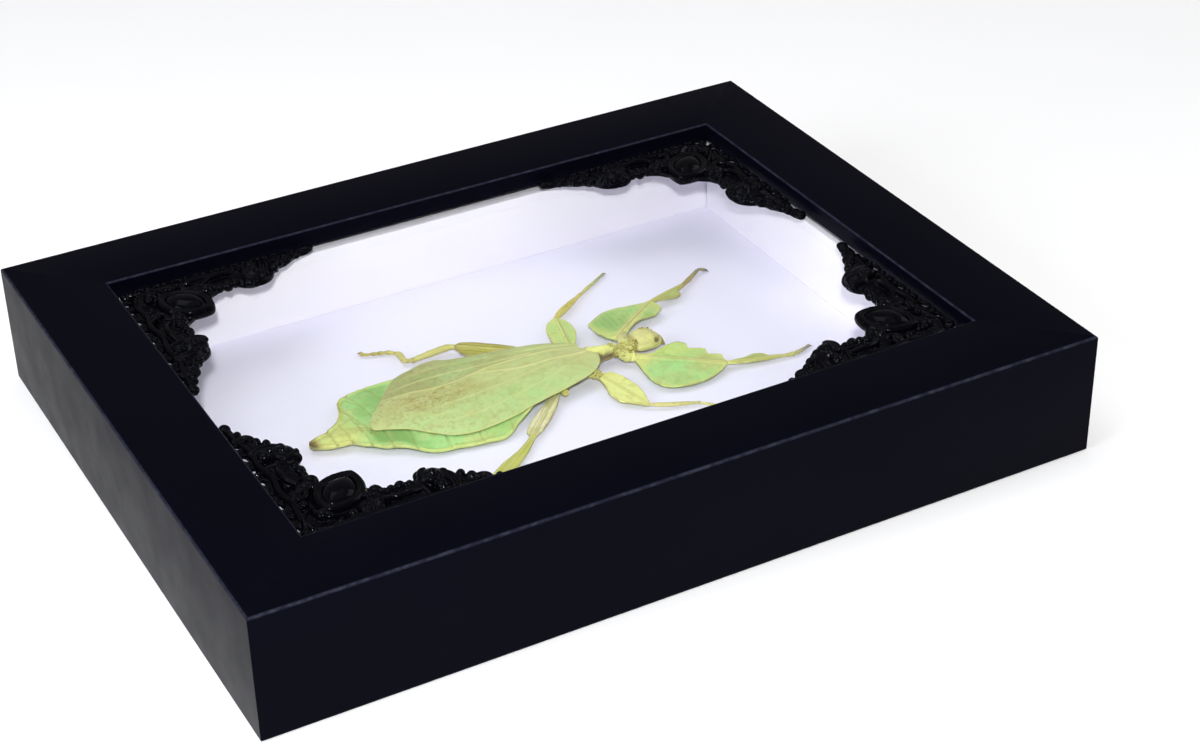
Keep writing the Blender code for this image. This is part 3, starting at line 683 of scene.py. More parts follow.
def leaf(points, width, height, grooves=3, count=36, across=25, cup=0.0, notch=0.0):
    """A fluted leaf lying on the plate: a spine, a width and a height, ending in a tip."""
    c = spline([(p[0], p[1], 0.0) for p in points], count)[:, :2]
    s = np.linspace(0, 1, count)
    d = np.gradient(c, axis=0)
    d /= np.linalg.norm(d, axis=1)[:, None]
    side = np.stack([-d[:, 1], d[:, 0]], 1)
    w = width / 2 * np.sin(np.pi * (0.10 + 0.86 * s) ** 0.8) ** 0.62
    w = w * (1 + notch * np.cos(s * 2 * np.pi * 4.5) * (s > 0.15))
    t = np.linspace(-1, 1, across)
    arch = np.sqrt(np.clip(1 - np.abs(t) ** 2.2, 0.0, 1))
    flute = 1 - 0.26 * (0.5 - 0.5 * np.cos(np.pi * grooves * (t + 1)))
    h = height * (0.42 + 0.58 * np.sin(np.pi * np.clip(s * 0.85 + 0.12, 0, 1)))
    z = 0.15 + h[:, None] * (arch * flute)[None, :] + cup * s[:, None]
    xy = c[:, None] + side[:, None] * (w[:, None] * t[None, :])[..., None]
    top = np.concatenate([xy, z[..., None]], -1)
    low = np.concatenate([xy, np.full(z.shape, 0.05)[..., None]], -1)
    verts, faces = sheet(top, low)
    return Piece(verts, faces)


def volute(u, v, radius, turns, r0, r1, z=1.3, start=0.0, hand=1, end_bead=1.0, lift=0.7):
    """A scroll that winds in to a bead."""
    count = 60
    s = np.linspace(0, 1, count)
    rad = radius * (1 - s) ** 0.85 + radius * 0.12
    a = math.radians(start) + hand * 2 * np.pi * turns * s
    pts = np.stack([u + rad * np.cos(a), v + rad * np.sin(a), z + lift * s], 1)
    radii = [(0, r0 * 0.6), (0.12, r0), (1, r1)]
    out = [limb(pts[::3], radii, sides=12, count=70)]
    if end_bead:
        out.append(ball((u, v, z + lift), (end_bead, end_bead, end_bead * 0.95), u=16, v=10))
    return out


def mirrored(pieces):
    """The pieces and their mirror images across the corner's diagonal."""
    out = list(pieces)
    for p in pieces:
        out.append(Piece(p.v[:, [1, 0, 2]], [tuple(reversed([int(i) for i in f])) for f in p.f]))
    return out


def prism(outline, z0, z1):
    """A flat plate between two heights, from its outline."""
    bm = bmesh.new()
    ring = [bm.verts.new((x, y, z0)) for x, y in outline]
    face = bm.faces.new(ring)
    bmesh.ops.triangulate(bm, faces=[face])
    grown = bmesh.ops.extrude_face_region(bm, geom=bm.faces[:])
    bmesh.ops.translate(bm, vec=(0, 0, z1 - z0),
                        verts=[g for g in grown["geom"] if isinstance(g, bmesh.types.BMVert)])
    bmesh.ops.recalc_face_normals(bm, faces=bm.faces[:])
    verts = np.array([v.co[:] for v in bm.verts])
    index = {v: i for i, v in enumerate(bm.verts)}
    faces = [tuple(index[v] for v in f.verts) for f in bm.faces]
    bm.free()
    return Piece(verts, faces)


def ornament_pieces():
    arm = []
    # A winding stem along the rail, and open loops between it and the rail.
    arm.append(vine([(5.5, 5.0, 1.0), (10, 3.9, 1.1), (16, 4.6, 1.2), (22, 3.7, 1.2), (28, 4.6, 1.2),
                     (34, 3.6, 1.2), (40, 4.2, 1.1), (46, 3.0, 1.0), (50, 2.8, 0.8)],
                    [(0, 1.0), (0.5, 1.15), (1, 0.8)], count=90))
    for u, v, a, b, turn in ((7.4, 2.3, 1.7, 1.2, 20), (11.8, 2.5, 1.5, 1.3, -30), (17.4, 2.2, 1.9, 1.2, 10),
                             (22.6, 2.5, 1.4, 1.3, 40), (27.8, 2.2, 1.8, 1.1, -15), (33.4, 2.4, 1.5, 1.3, 30),
                             (39.0, 2.2, 1.8, 1.1, -10), (44.4, 2.4, 1.4, 1.0, 25)):
        arm.append(ring_tube(u, v, 0.95, a, b, 0.52, turn, squash=1.2, count=36))
    for u, v, r in ((9.7, 1.9, 0.8), (14.2, 1.6, 0.95), (15.0, 3.0, 0.6), (19.9, 1.8, 0.7), (20.8, 2.9, 0.7),
                    (25.0, 1.8, 1.0), (30.4, 1.7, 0.75), (31.2, 3.0, 0.6), (36.0, 1.8, 0.95), (41.8, 1.7, 0.75),
                    (46.8, 2.2, 0.8)):
        arm.append(ball((u, v, 0.9), (r, r * 1.1, 0.95), turn=11 * u, u=14, v=8))
    # Tip: a bud on the stem's end.
    arm.append(leaf([(48.6, 2.6), (51.6, 2.6), (54.8, 2.7)], 3.4, 1.5, grooves=2))
    arm.append(ball((53.4, 2.6, 1.0), (1.8, 1.5, 1.05), turn=5))
    # Second lobe: a small scroll with beads before it.
    arm += volute(46.2, 4.6, 2.2, 1.1, 0.85, 0.55, z=0.9, start=-150, hand=-1, end_bead=1.0, lift=0.6)
    arm.append(ball((43.9, 6.7, 1.4), (1.3, 1.2, 1.3)))
    arm.append(ball((49.8, 4.3, 0.9), (1.0, 1.0, 1.0)))
    arm.append(leaf([(42.0, 3.6), (42.6, 6.0), (42.4, 9.0)], 2.8, 1.9, grooves=1))
    arm.append(ball((42.0, 8.5, 1.5), (1.15, 1.1, 1.3)))
    # Big lobe: a curled leaf over a bud.
    arm.append(leaf([(39.2, 3.0), (39.5, 6.6), (38.2, 10.4), (35.6, 12.9)], 5.6, 2.9, grooves=3))
    arm.append(leaf([(33.0, 3.4), (32.2, 7.2), (32.7, 10.6), (34.6, 13.2)], 4.8, 2.6, grooves=2))
    arm.append(ball((35.6, 10.1, 1.5), (3.3, 3.1, 2.1), turn=20, u=28, v=16))
    arm += volute(35.7, 10.0, 2.9, 0.95, 0.85, 0.55, z=2.3, start=95, hand=1, end_bead=1.2, lift=0.9)
    arm.append(ball((33.6, 12.3, 1.4), (1.7, 1.4, 1.4), turn=-30))
    arm.append(ball((38.5, 10.6, 1.5), (1.5, 1.4, 1.5)))
    arm.append(ball((36.2, 5.8, 2.0), (1.5, 1.8, 1.5)))
    # Ribs between the big lobe and the oval.
    for k, u in enumerate((30.6, 28.4, 26.2, 24.2)):
        tip = (11.3, 11.7, 11.6, 10.9)[k]
        arm.append(leaf([(u + 1.5, 3.4), (u + 0.5, 7.4), (u - 0.6, tip)], 2.5, 2.2 - 0.12 * k, grooves=1))
        r = (1.15, 1.45, 1.2, 1.5)[k]
        arm.append(ball((u - 0.3, tip - 0.5, 1.25), (r, r * 0.9, r), u=16, v=10))
    arm.append(vine([(31.8, 7.0, 2.0), (28.6, 6.2, 2.5), (25.0, 6.5, 2.5), (22.4, 8.0, 2.2)],
                    [(0, 0.5), (0.5, 0.85), (1, 0.6)], count=40))
    # Beside the oval: a bud, a scroll and beads that crowd it.
    arm.append(leaf([(19.8, 6.2), (21.6, 9.0), (22.6, 12.3)], 4.6, 2.7, grooves=2))
    arm.append(ball((22.2, 11.2, 1.9), (1.75, 1.9, 1.6), turn=20))
    arm += volute(18.6, 6.4, 2.3, 1.0, 0.85, 0.55, z=1.6, start=20, hand=1, end_bead=0.95, lift=0.8)
    arm.append(ball((14.6, 6.3, 1.7), (1.25, 1.05, 1.2)))
    arm.append(leaf([(7.4, 3.4), (10.4, 4.6), (13.4, 7.6)], 3.6, 2.4, grooves=2))
    arm.append(leaf([(6.0, 7.6), (8.6, 8.4), (11.0, 11.2)], 2.6, 2.6, grooves=1))
    arm.append(ball((9.4, 7.2, 2.1), (1.2, 1.0, 1.1)))
    arm += volute(19.6, 10.4, 1.7, 0.9, 0.6, 0.45, z=1.9, start=200, hand=-1, end_bead=0.8, lift=0.5)
    # The plate that carries the relief, set back from the rail.
    body = []
    inner = [(19.9, 18.2), (21.2, 15.4), (23.2, 12.8), (26.8, 10.9), (30.6, 10.3), (32.2, 12.2), (35.0, 13.6),
             (38.2, 12.4), (40.4, 9.4), (42.6, 7.8), (45.6, 7.2), (48.0, 5.6), (50.4, 4.0), (52.6, 3.5),
             (53.6, 2.7), (50.0, 2.2)]
    outer = []
    u = 47.0
    while u > 4.0:
        outer.append((u, 2.5 + 0.5 * math.sin(u * 1.3)))
        u -= 2.0
    half = inner + outer
    outline = half + [(3.6, 3.6)] + [(v, u) for u, v in reversed(half)] + [(19.5, 19.5)]
    body.append(prism(outline, 0.05, 1.15))
    pieces = mirrored(arm) + body
    # Corner: a fan of petals and a bud.
    for a in (-62, -31, 0, 31, 62):
        r = math.radians(45 + a)
        far = 6.0 if a else 6.6
        pieces.append(leaf([(8.6, 8.6), (8.6 - far * 0.55 * math.cos(r), 8.6 - far * 0.55 * math.sin(r)),
                            (8.6 - far * math.cos(r), 8.6 - far * math.sin(r))], 2.7, 2.1, grooves=1))
    pieces.append(ball((8.2, 8.2, 2.3), (1.7, 1.7, 1.5)))
    pieces.append(ball((3.0, 3.0, 1.0), (1.2, 1.2, 1.0)))
    # The oval stone in its double rim, long axis on the diagonal.
    pieces.append(ring_tube(15.1, 15.1, 1.5, 7.2, 5.1, 0.95, 45, 1.6, squash=1.7))
    pieces.append(ring_tube(15.1, 15.1, 2.5, 6.1, 4.1, 0.42, 45, 1.5, squash=1.0))
    return pieces


def dome_piece():
    """The oval stone itself."""
    n, m = 26, 96
    t = 2 * np.pi * np.arange(m) / m
    x, y = np.cos(t), np.sign(np.sin(t)) * np.abs(np.sin(t)) ** 1.5
    rings = []
    for k in range(n):
        a = math.pi / 2 * (k + 0.35) / n
        rr, zz = math.cos(a) ** 0.92, math.sin(a)
        rings.append(np.stack([5.85 * rr * x, 4.05 * rr * y, np.full(m, 1.5 + 2.7 * zz)], 1))
    rings.insert(0, np.stack([5.6 * x, 3.8 * y, np.full(m, 0.3)], 1))
    verts, faces = tube_skin(rings)
    verts[-1] = (0, 0, 1.5 + 2.7)
    r = np.array(Matrix.Rotation(math.radians(45), 3, "Z"))
    return Piece(verts @ r.T + np.array([15.1, 15.1, 0]), faces)


def build_ornaments(mat):
    voxel = 0.2
    cast = remeshed(join(ornament_pieces()), voxel, 2)
    co = coords(cast)
    co[:, 2] = np.maximum(co[:, 2], 0.02)
    co[:, 2] = np.minimum(co[:, 2], 4.6)
    co[:, 0] = np.maximum(co[:, 0], 0.25)
    co[:, 1] = np.maximum(co[:, 1], 0.25)
    dome = dome_piece()
    for name, sx, sy, turn in (
        ("ornament_back_left", -1, 1, 270), ("ornament_back_right", 1, 1, 180),
        ("ornament_front_right", 1, -1, 90), ("ornament_front_left", -1, -1, 0),
    ):
        m = np.array(Matrix.Rotation(math.radians(turn), 3, "Z"))
        shift = np.array([sx * WIN_X, sy * WIN_Y, PLATE_Z])
        mesh = cast.copy()
        set_coords(mesh, (co @ m.T + shift) * MM)
        show(f"{name}_scrollwork", mesh, mat, (name,))
        show(f"{name}_stone", Piece(dome.v @ m.T + shift, dome.f), mat, ())


# ================================================================ the insect: shape
BACK = ([-61.0, -56.0, -50.0, -44.0, -36.0, -24.0, -10.0, 4.0, 12.0, 20.0],
        [8.5, 8.9, 9.1, 9.5, 9.9, 10.3, 10.5, 10.7, 10.9, 10.9])
ARCH = ([-61.0, -56.0, -52.0, -48.0, -44.0, -38.0, -20.0, -5.0, 20.0],
        [3.5, 5.0, 7.5, 13.0, 16.0, 18.5, 19.0, 17.5, 17.0])
ABD_NEAR = Line([(-61.0, 3.3), (-60.7, 2.3), (-60.1, 1.6), (-59.0, 0.9), (-56.0, -0.5), (-52.2, -0.9), (-48.4, -3.8), (-44.6, -6.9),
                 (-40.0, -9.4), (-37.6, -12.1), (-34.2, -14.1), (-29.0, -15.2), (-22.8, -16.3), (-18.0, -16.9),
                 (-15.0, -16.0), (-11.4, -13.4), (-4.0, -8.6), (2.0, -5.0)])
ABD_FAR = Line([(-61.0, 3.6), (-60.7, 4.4), (-60.1, 4.9), (-58.9, 5.4), (-56.0, 6.0), (-52.2, 8.4), (-50.0, 11.0), (-48.4, 14.2),
                (-47.4, 17.8), (-45.2, 19.7), (-41.0, 20.0), (-32.0, 19.5), (-24.0, 19.0), (-16.0, 17.4),
                (-10.0, 15.4), (-4.0, 12.6), (2.0, 10.0)])
WING_NEAR = Line([(-45.7, 0.5), (-45.4, -0.3), (-44.6, -1.0), (-42.6, -1.8), (-38.7, -3.9), (-36.4, -5.6),
                  (-32.8, -8.7), (-27.6, -12.0), (-21.6, -13.0), (-13.1, -12.0), (-4.4, -9.9), (3.8, -8.4),
                  (12.1, -6.2), (14.6, -5.0), (16.6, -3.5), (18.1, -1.7), (18.8, 0.1)])
WING_SEAM = Line([(-45.7, 0.5), (-45.5, 1.4), (-44.8, 2.4), (-43.0, 4.7), (-40.9, 6.9), (-38.6, 9.0), (-31.2, 8.6),
                  (-26.0, 7.4), (-19.6, 7.2), (-14.6, 8.2), (-8.0, 9.2), (0.4, 9.0), (9.6, 8.0), (13.5, 7.4),
                  (15.6, 6.5), (16.8, 5.2), (17.8, 3.8), (18.7, 2.1), (19.1, 0.6)])
WING_FAR = Line([(-42.4, 4.2), (-41.0, 6.6), (-37.0, 12.4), (-33.7, 16.2), (-31.0, 18.8), (-26.0, 20.6),
                 (-20.4, 21.8), (-18.0, 21.6), (-16.0, 20.2), (-9.9, 18.4), (-2.0, 16.6), (4.5, 15.0),
                 (10.0, 12.9), (14.2, 10.4), (16.2, 8.4), (16.6, 7.8)])
WING_UNDER = Line([(-42.4, 3.6), (-40.0, 1.8), (-36.0, 0.4), (-30.0, -1.2), (6.0, -1.0), (10.5, 2.0), (13.6, 6.0),
                   (16.0, 7.3), (16.6, 7.5)])

HAZE, LIT = 0.025, 0.97


def seen(r, g, b):
    """Colour that looks like this one from in front of the glass, which adds a little haze."""
    return np.clip((srgb(r, g * 0.985, b * 0.95) - HAZE) / LIT, 0.004, 0.95)


PALE = seen(196, 215, 146)
MINT = seen(168, 216, 144)
DEEP = seen(134, 184, 104)
OLIVE = seen(172, 182, 116)
YELLOW = seen(212, 217, 138)
BRIGHT = seen(238, 241, 158)
STRAW = seen(208, 206, 140)
MUSTARD = seen(186, 182, 98)
BROWN = seen(156, 140, 86)
DARK = seen(96, 82, 54)
GREY = seen(150, 150, 136)


def back_height(x, y):
    centre = np.interp(x, *BACK)
    half = np.interp(x, *ARCH)
    t = (y - AXIS_Y) / half
    drop = np.where(t < 0, 2.6, 1.0)
    return centre - drop * np.minimum(1.0, half / 12.0) * np.minimum(np.abs(t), 1.15) ** 1.8


def blend(tone, colour, weight):
    """Lays a colour over the tones with a weight at each vertex."""
    w = np.clip(np.asarray(weight, float), 0, 1)[:, None]
    return tone * (1 - w) + np.asarray(colour)[None, :] * w


CREASES = [
    ([(-53.6, 6.4), (-51.2, 4.6), (-48.6, 2.4), (-46.0, 0.2), (-44.2, -3.6)], 0.2),
    ([(-50.4, 4.8), (-47.2, 2.4), (-44.4, 0.2), (-42.4, -0.4)], 0.17),
    ([(-49.4, 14.6), (-48.0, 12.8), (-47.2, 10.4), (-46.8, 7.6), (-46.6, 5.0)], 0.15),
    ([(-48.0, 12.8), (-45.8, 12.2), (-43.4, 10.8)], 0.13),
    ([(-48.0, 6.6), (-46.2, 3.6), (-45.8, 0.6), (-46.6, -2.0)], 0.15),
    ([(-52.0, 7.2), (-50.2, 7.4), (-48.6, 8.6)], 0.14),
    ([(-45.4, 17.8), (-44.4, 14.8), (-42.2, 12.4), (-40.4, 10.4)], 0.14),
]
SUTURES = [-55.2, -51.2, -47.4, -42.8, -37.4, -29.2, -20.8, -12.2, -4.6]


def build_abdomen():
    nx, ny = ((330, 96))
    s = np.linspace(0, 1, nx)
    x = -61.0 + 62.8 * (s - 0.1 * np.sin(np.pi * s))
    near, far = ABD_NEAR(x), ABD_FAR(x)
    # Small swellings of the margin between the segments.
    swell = np.zeros(nx)
    for a, b in zip(SUTURES, SUTURES[1:]):
        inside = (x > a) & (x <= b)
        swell[inside] = 0.22 * np.sin(np.pi * (x[inside] - a) / (b - a))
    near, far = near - swell + 0.05, far + swell * 0.8 - 0.05
    t = np.linspace(-1, 1, ny)
    t = np.sign(t) * np.abs(t) ** 0.86
    X = np.repeat(x[:, None], ny, 1)
    Y = (near + far)[:, None] / 2 + t[None, :] * (far - near)[:, None] / 2
    Z = back_height(X, Y)
    edge = (1 - np.abs(t))[None, :] * (far - near)[:, None] / 2
    flat = np.stack([X, Y, Z], -1).reshape(-1, 3)
    # Creases that fan out over the rear, in plan.
    folds = np.zeros(X.size)
    flat_xy = np.stack([X.ravel(), Y.ravel()], 1)
    for points, width in CREASES:
        d, along = near_line(flat_xy, points, 40)
        folds = np.maximum(folds, np.exp(-(d / width) ** 2) * smooth(along, 0.0, 0.1) * (1 - smooth(along, 0.85, 1.0)))
    folds = folds.reshape(X.shape)
    core = np.minimum(3.1, 1.2 + (far - near) * 0.16)[:, None]
    thick = 0.5 + (core - 0.5) * (1 - np.abs(t)[None, :] ** 2.5)
    # Relief: sutures pressed in, a rim, wrinkles and the body's swollen middle.
    out = np.abs(Y - AXIS_Y)
    relief = np.zeros_like(X)
    crease = np.zeros_like(X)
    for xs in SUTURES:
        line = xs - 0.16 * np.maximum(0, out - 8) + 0.10 * np.sin(Y * 0.9 + xs)
        d = X - line
        relief -= 0.22 * np.exp(-(d / 0.34) ** 2) - 0.12 * np.exp(-((d - 0.9) / 0.7) ** 2)
        crease = np.maximum(crease, np.exp(-(d / 0.3) ** 2))
    relief += 0.2 * np.exp(-((edge - 0.45) / 0.4) ** 2)
    relief -= 0.16 * np.exp(-((edge - 1.5) / 0.8) ** 2)
    wr = noise(flat * np.array([1.0, 0.35, 1.0]), 1.3, 3, 3).reshape(X.shape)
    relief += 0.09 * wr * smooth(edge, 0.2, 1.5)
    wave = noise(flat, 7.0, 8).reshape(X.shape)
    relief += 0.3 * wave * smooth(edge, 1.0, 4.0) * (1 - smooth(X, -46, -38) * 0.6)
    tip = 1 - smooth(X, -54, -46)
    relief += 0.25 * tip * (1 - np.abs(t)[None, :] ** 2)
    relief += tip * (0.16 * noise(flat, 1.7, 91, 2).reshape(X.shape)) - 0.2 * folds
    relief -= 0.7 * (1 - smooth(X, -61.0, -59.4)) * (1 - np.abs(t)[None, :] ** 2)
    under = (Y > WING_NEAR(X) + 0.8) & (Y < WING_FAR(X) - 0.8) & (X > -43)
    relief = np.where(under, np.minimum(relief, 0.0) - 0.05, relief)
    top = np.stack([X, Y, Z + relief], -1)
    low_z = np.maximum(Z - thick + 0.05 * wr, CARD_TOP + 0.3)
    low_z = np.minimum(low_z, Z + relief - 0.35)
    low = np.stack([X, Y, low_z], -1)
    verts, faces = sheet(top, low)

    # Tones: mint blades, yellow margins and tip, brown end.
    x1, y1, e1 = X.ravel(), Y.ravel(), edge.ravel()
    tone = np.repeat(MINT[None], len(x1), 0)
    patch = noise(flat, 4.0, 21, 3)
    tone = blend(tone, PALE, 0.55 * smooth(noise(flat, 6.0, 5, 3), -0.15, 0.4))
    tone = blend(tone, DEEP, 0.55 * smooth(patch, -0.1, 0.4))
    # Dark green in the near strip below the wing, and in the far rear lobe.
    strip = smooth(x1, -48, -45) * (1 - smooth(x1, -39.5, -35)) * (y1 < 0.5)
    tone = blend(tone, DEEP * 0.8, 0.9 * strip * smooth(e1, 1.2, 2.4))
    lobe = np.exp(-((x1 + 39.0) / 4.0) ** 2 - ((y1 - 13.0) / 5.0) ** 2)
    tone = blend(tone, DEEP * 0.9, 0.7 * lobe)
    tone = blend(tone, PALE, 0.55 * smooth(x1, -32, -24) * (y1 < 0) * np.exp(-((e1 - 2.2) / 0.8) ** 2))
    tone = blend(tone, seen(158, 202, 124), 0.6 * smooth(x1, -24, -18) * (y1 < -9) * smooth(e1, 0.8, 1.6))
    rim = 1 - smooth(e1, 0.35, 1.2)
    tone = blend(tone, YELLOW, 0.6 * rim)
    tone = blend(tone, YELLOW, 0.85 * (1 - smooth(x1 + 0.35 * np.abs(y1 - 3), -52.5, -43.0)))
    tone = blend(tone, PALE, 0.5 * smooth(noise(flat, 1.9, 63, 2), 0.0, 0.5) * (1 - smooth(x1, -50, -44)))
    tone = blend(tone, seen(196, 190, 92), 0.65 * np.exp(-((x1 + 47.6) / 2.4) ** 2) * smooth(y1, 7, 9.5) * (1 - smooth(e1, 1.6, 3.6)))
    tone = blend(tone, OLIVE, 0.4 * smooth(noise(flat, 2.2, 31, 2), 0.2, 0.6))
    tone = blend(tone, BROWN, 0.3 * smooth(noise(flat, 0.8, 35, 2), 0.35, 0.65))
    thin = np.exp(-(noise(flat, 1.8, 55, 2) / 0.05) ** 2)
    tone = blend(tone, BROWN, 0.16 * thin * (1 - smooth(x1, -46, -40)) + 0.06 * thin)
    seam = crease.ravel()
    tone = blend(tone, lerp(BROWN, OLIVE, 0.3), 0.6 * seam * (0.55 + 0.45 * noise(flat, 1.1, 14)))
    tone = blend(tone, DARK, 0.5 * seam * np.exp(-(e1 / 0.6) ** 2) * (x1 < -36))
    tone = blend(tone, seen(158, 132, 80), 0.66 * folds.ravel() * (0.75 + 0.25 * noise(flat, 0.7, 15)))
    tone = blend(tone, lerp(BROWN, DARK, 0.4), 0.8 * (1 - smooth(e1 + 0.25 * noise(flat, 1.0, 43, 2), 0.15, 0.75)) * (y1 > 3.2)
                 * (1 - smooth(x1, -52.4, -50.4)))
    end = smooth(-x1 + 0.5 * noise(flat, 0.9, 41, 2), 57.6, 60.2)
    tone = blend(tone, BROWN, 0.9 * end)
    tone = blend(tone, DARK, 0.7 * smooth(-x1 + 0.6 * noise(flat, 0.6, 42, 2), 59.6, 60.9))
    tone = blend(tone, DARK, 0.75 * smooth(-x1 + 0.6 * noise(flat, 0.7, 42, 2), 59.0, 60.3))
    tone = np.vstack([tone, blend(tone * 0.95, PALE, np.full(len(tone), 0.35))])
    return Piece(verts, faces, tone=tone, vein=np.zeros(len(verts)),
                 rough=np.concatenate([rim * 0.5, rim * 0.5]))


def trunk_loft(rows, y0, count=46, sides=56, power=2.4, bumps=0.05, seed=1, ridge=0.0, grain=0.05):
    """A rounded part of the trunk through rows of X, half width, bottom and top."""
    rows = np.array(rows, float)
    xs = np.linspace(rows[0, 0], rows[-1, 0], count)
    w, lo, hi = (Line(list(zip(rows[:, 0], rows[:, k])))(xs) for k in (1, 2, 3))
    a = 2 * np.pi * np.arange(sides) / sides
    c, s = np.cos(a), np.sin(a)
    cc, ss = np.sign(c) * np.abs(c) ** (2 / power), np.sign(s) * np.abs(s) ** (2 / power)
    Y = y0 + w[:, None] * cc
    Z = ((lo + hi) / 2)[:, None] + ((hi - lo) / 2)[:, None] * ss
    X = np.repeat(xs[:, None], sides, 1)
    rings = np.stack([X, Y, Z], -1)
    flat = rings.reshape(-1, 3)
    centre = np.stack([X, np.full_like(X, y0), np.repeat(((lo + hi) / 2)[:, None], sides, 1)], -1)
    push = bumps * noise(flat, 0.9, seed, 3) + grain * noise(flat, 0.38, seed + 5, 2)
    if ridge:
        push += ridge * (np.exp(-((flat[:, 1] - y0) / 0.35) ** 2) * (flat[:, 2] > centre.reshape(-1, 3)[:, 2]))
    d = rings - centre
    d /= np.maximum(np.linalg.norm(d, axis=-1, keepdims=True), 1e-6)
    rings = rings + d * push.reshape(X.shape)[..., None]
    verts, faces = tube_skin(rings)
    return Piece(verts, faces)


def granules(centre, spread, count, sizes, seed):
    """Spots for irregular granules scattered over an oval patch."""
    rng = np.random.default_rng(seed)
    out = []
    for _ in range(count):
        a, r = rng.uniform(0, 2 * np.pi), rng.uniform(0, 1) ** 0.6
        x, y = centre[0] + spread[0] * r * math.cos(a), centre[1] + spread[1] * r * math.sin(a)
        out.append((x, y, centre[2], rng.uniform(*sizes)))
    return out


def tubercles(spots, seed=0):
    """Small pointed warts, darker at their feet with painted shade where they meet the skin. spots are (x, y, z,
    radius) and, for a darker one, its share of brown.
    """
    out = []
    for k, (x, y, z, r, *dark) in enumerate(spots):
        p = ball((x, y, z), (r * (1.15 if k % 2 else 0.95), r * 0.85, r * 0.9), turn=37 * k, u=14, v=9)
        up = (p.v[:, 2] - z) / (r * 0.9)
        tone = np.repeat((YELLOW, lerp(YELLOW, MUSTARD, 0.6), MUSTARD, lerp(MUSTARD, OLIVE, 0.4))[k % 4][None], len(p.v), 0)
        # Brown, then dark towards each wart's foot: painted shade where it meets the skin.
        tone = blend(tone, BROWN, 0.75 * (1 - smooth(up, -0.1, 0.7)))
        tone = blend(tone, DARK, 0.7 * (1 - smooth(up, -0.5, 0.2)))
        if dark:
            tone = blend(tone, seen(118, 92, 52), np.full(len(p.v), dark[0]))
        p.v += 0.42 * r * noise(p.v, 0.3, 5 + k)[:, None] * np.array([1.0, 1.0, 0.6])
        out.append(p.paint(tone=tone))
    return out


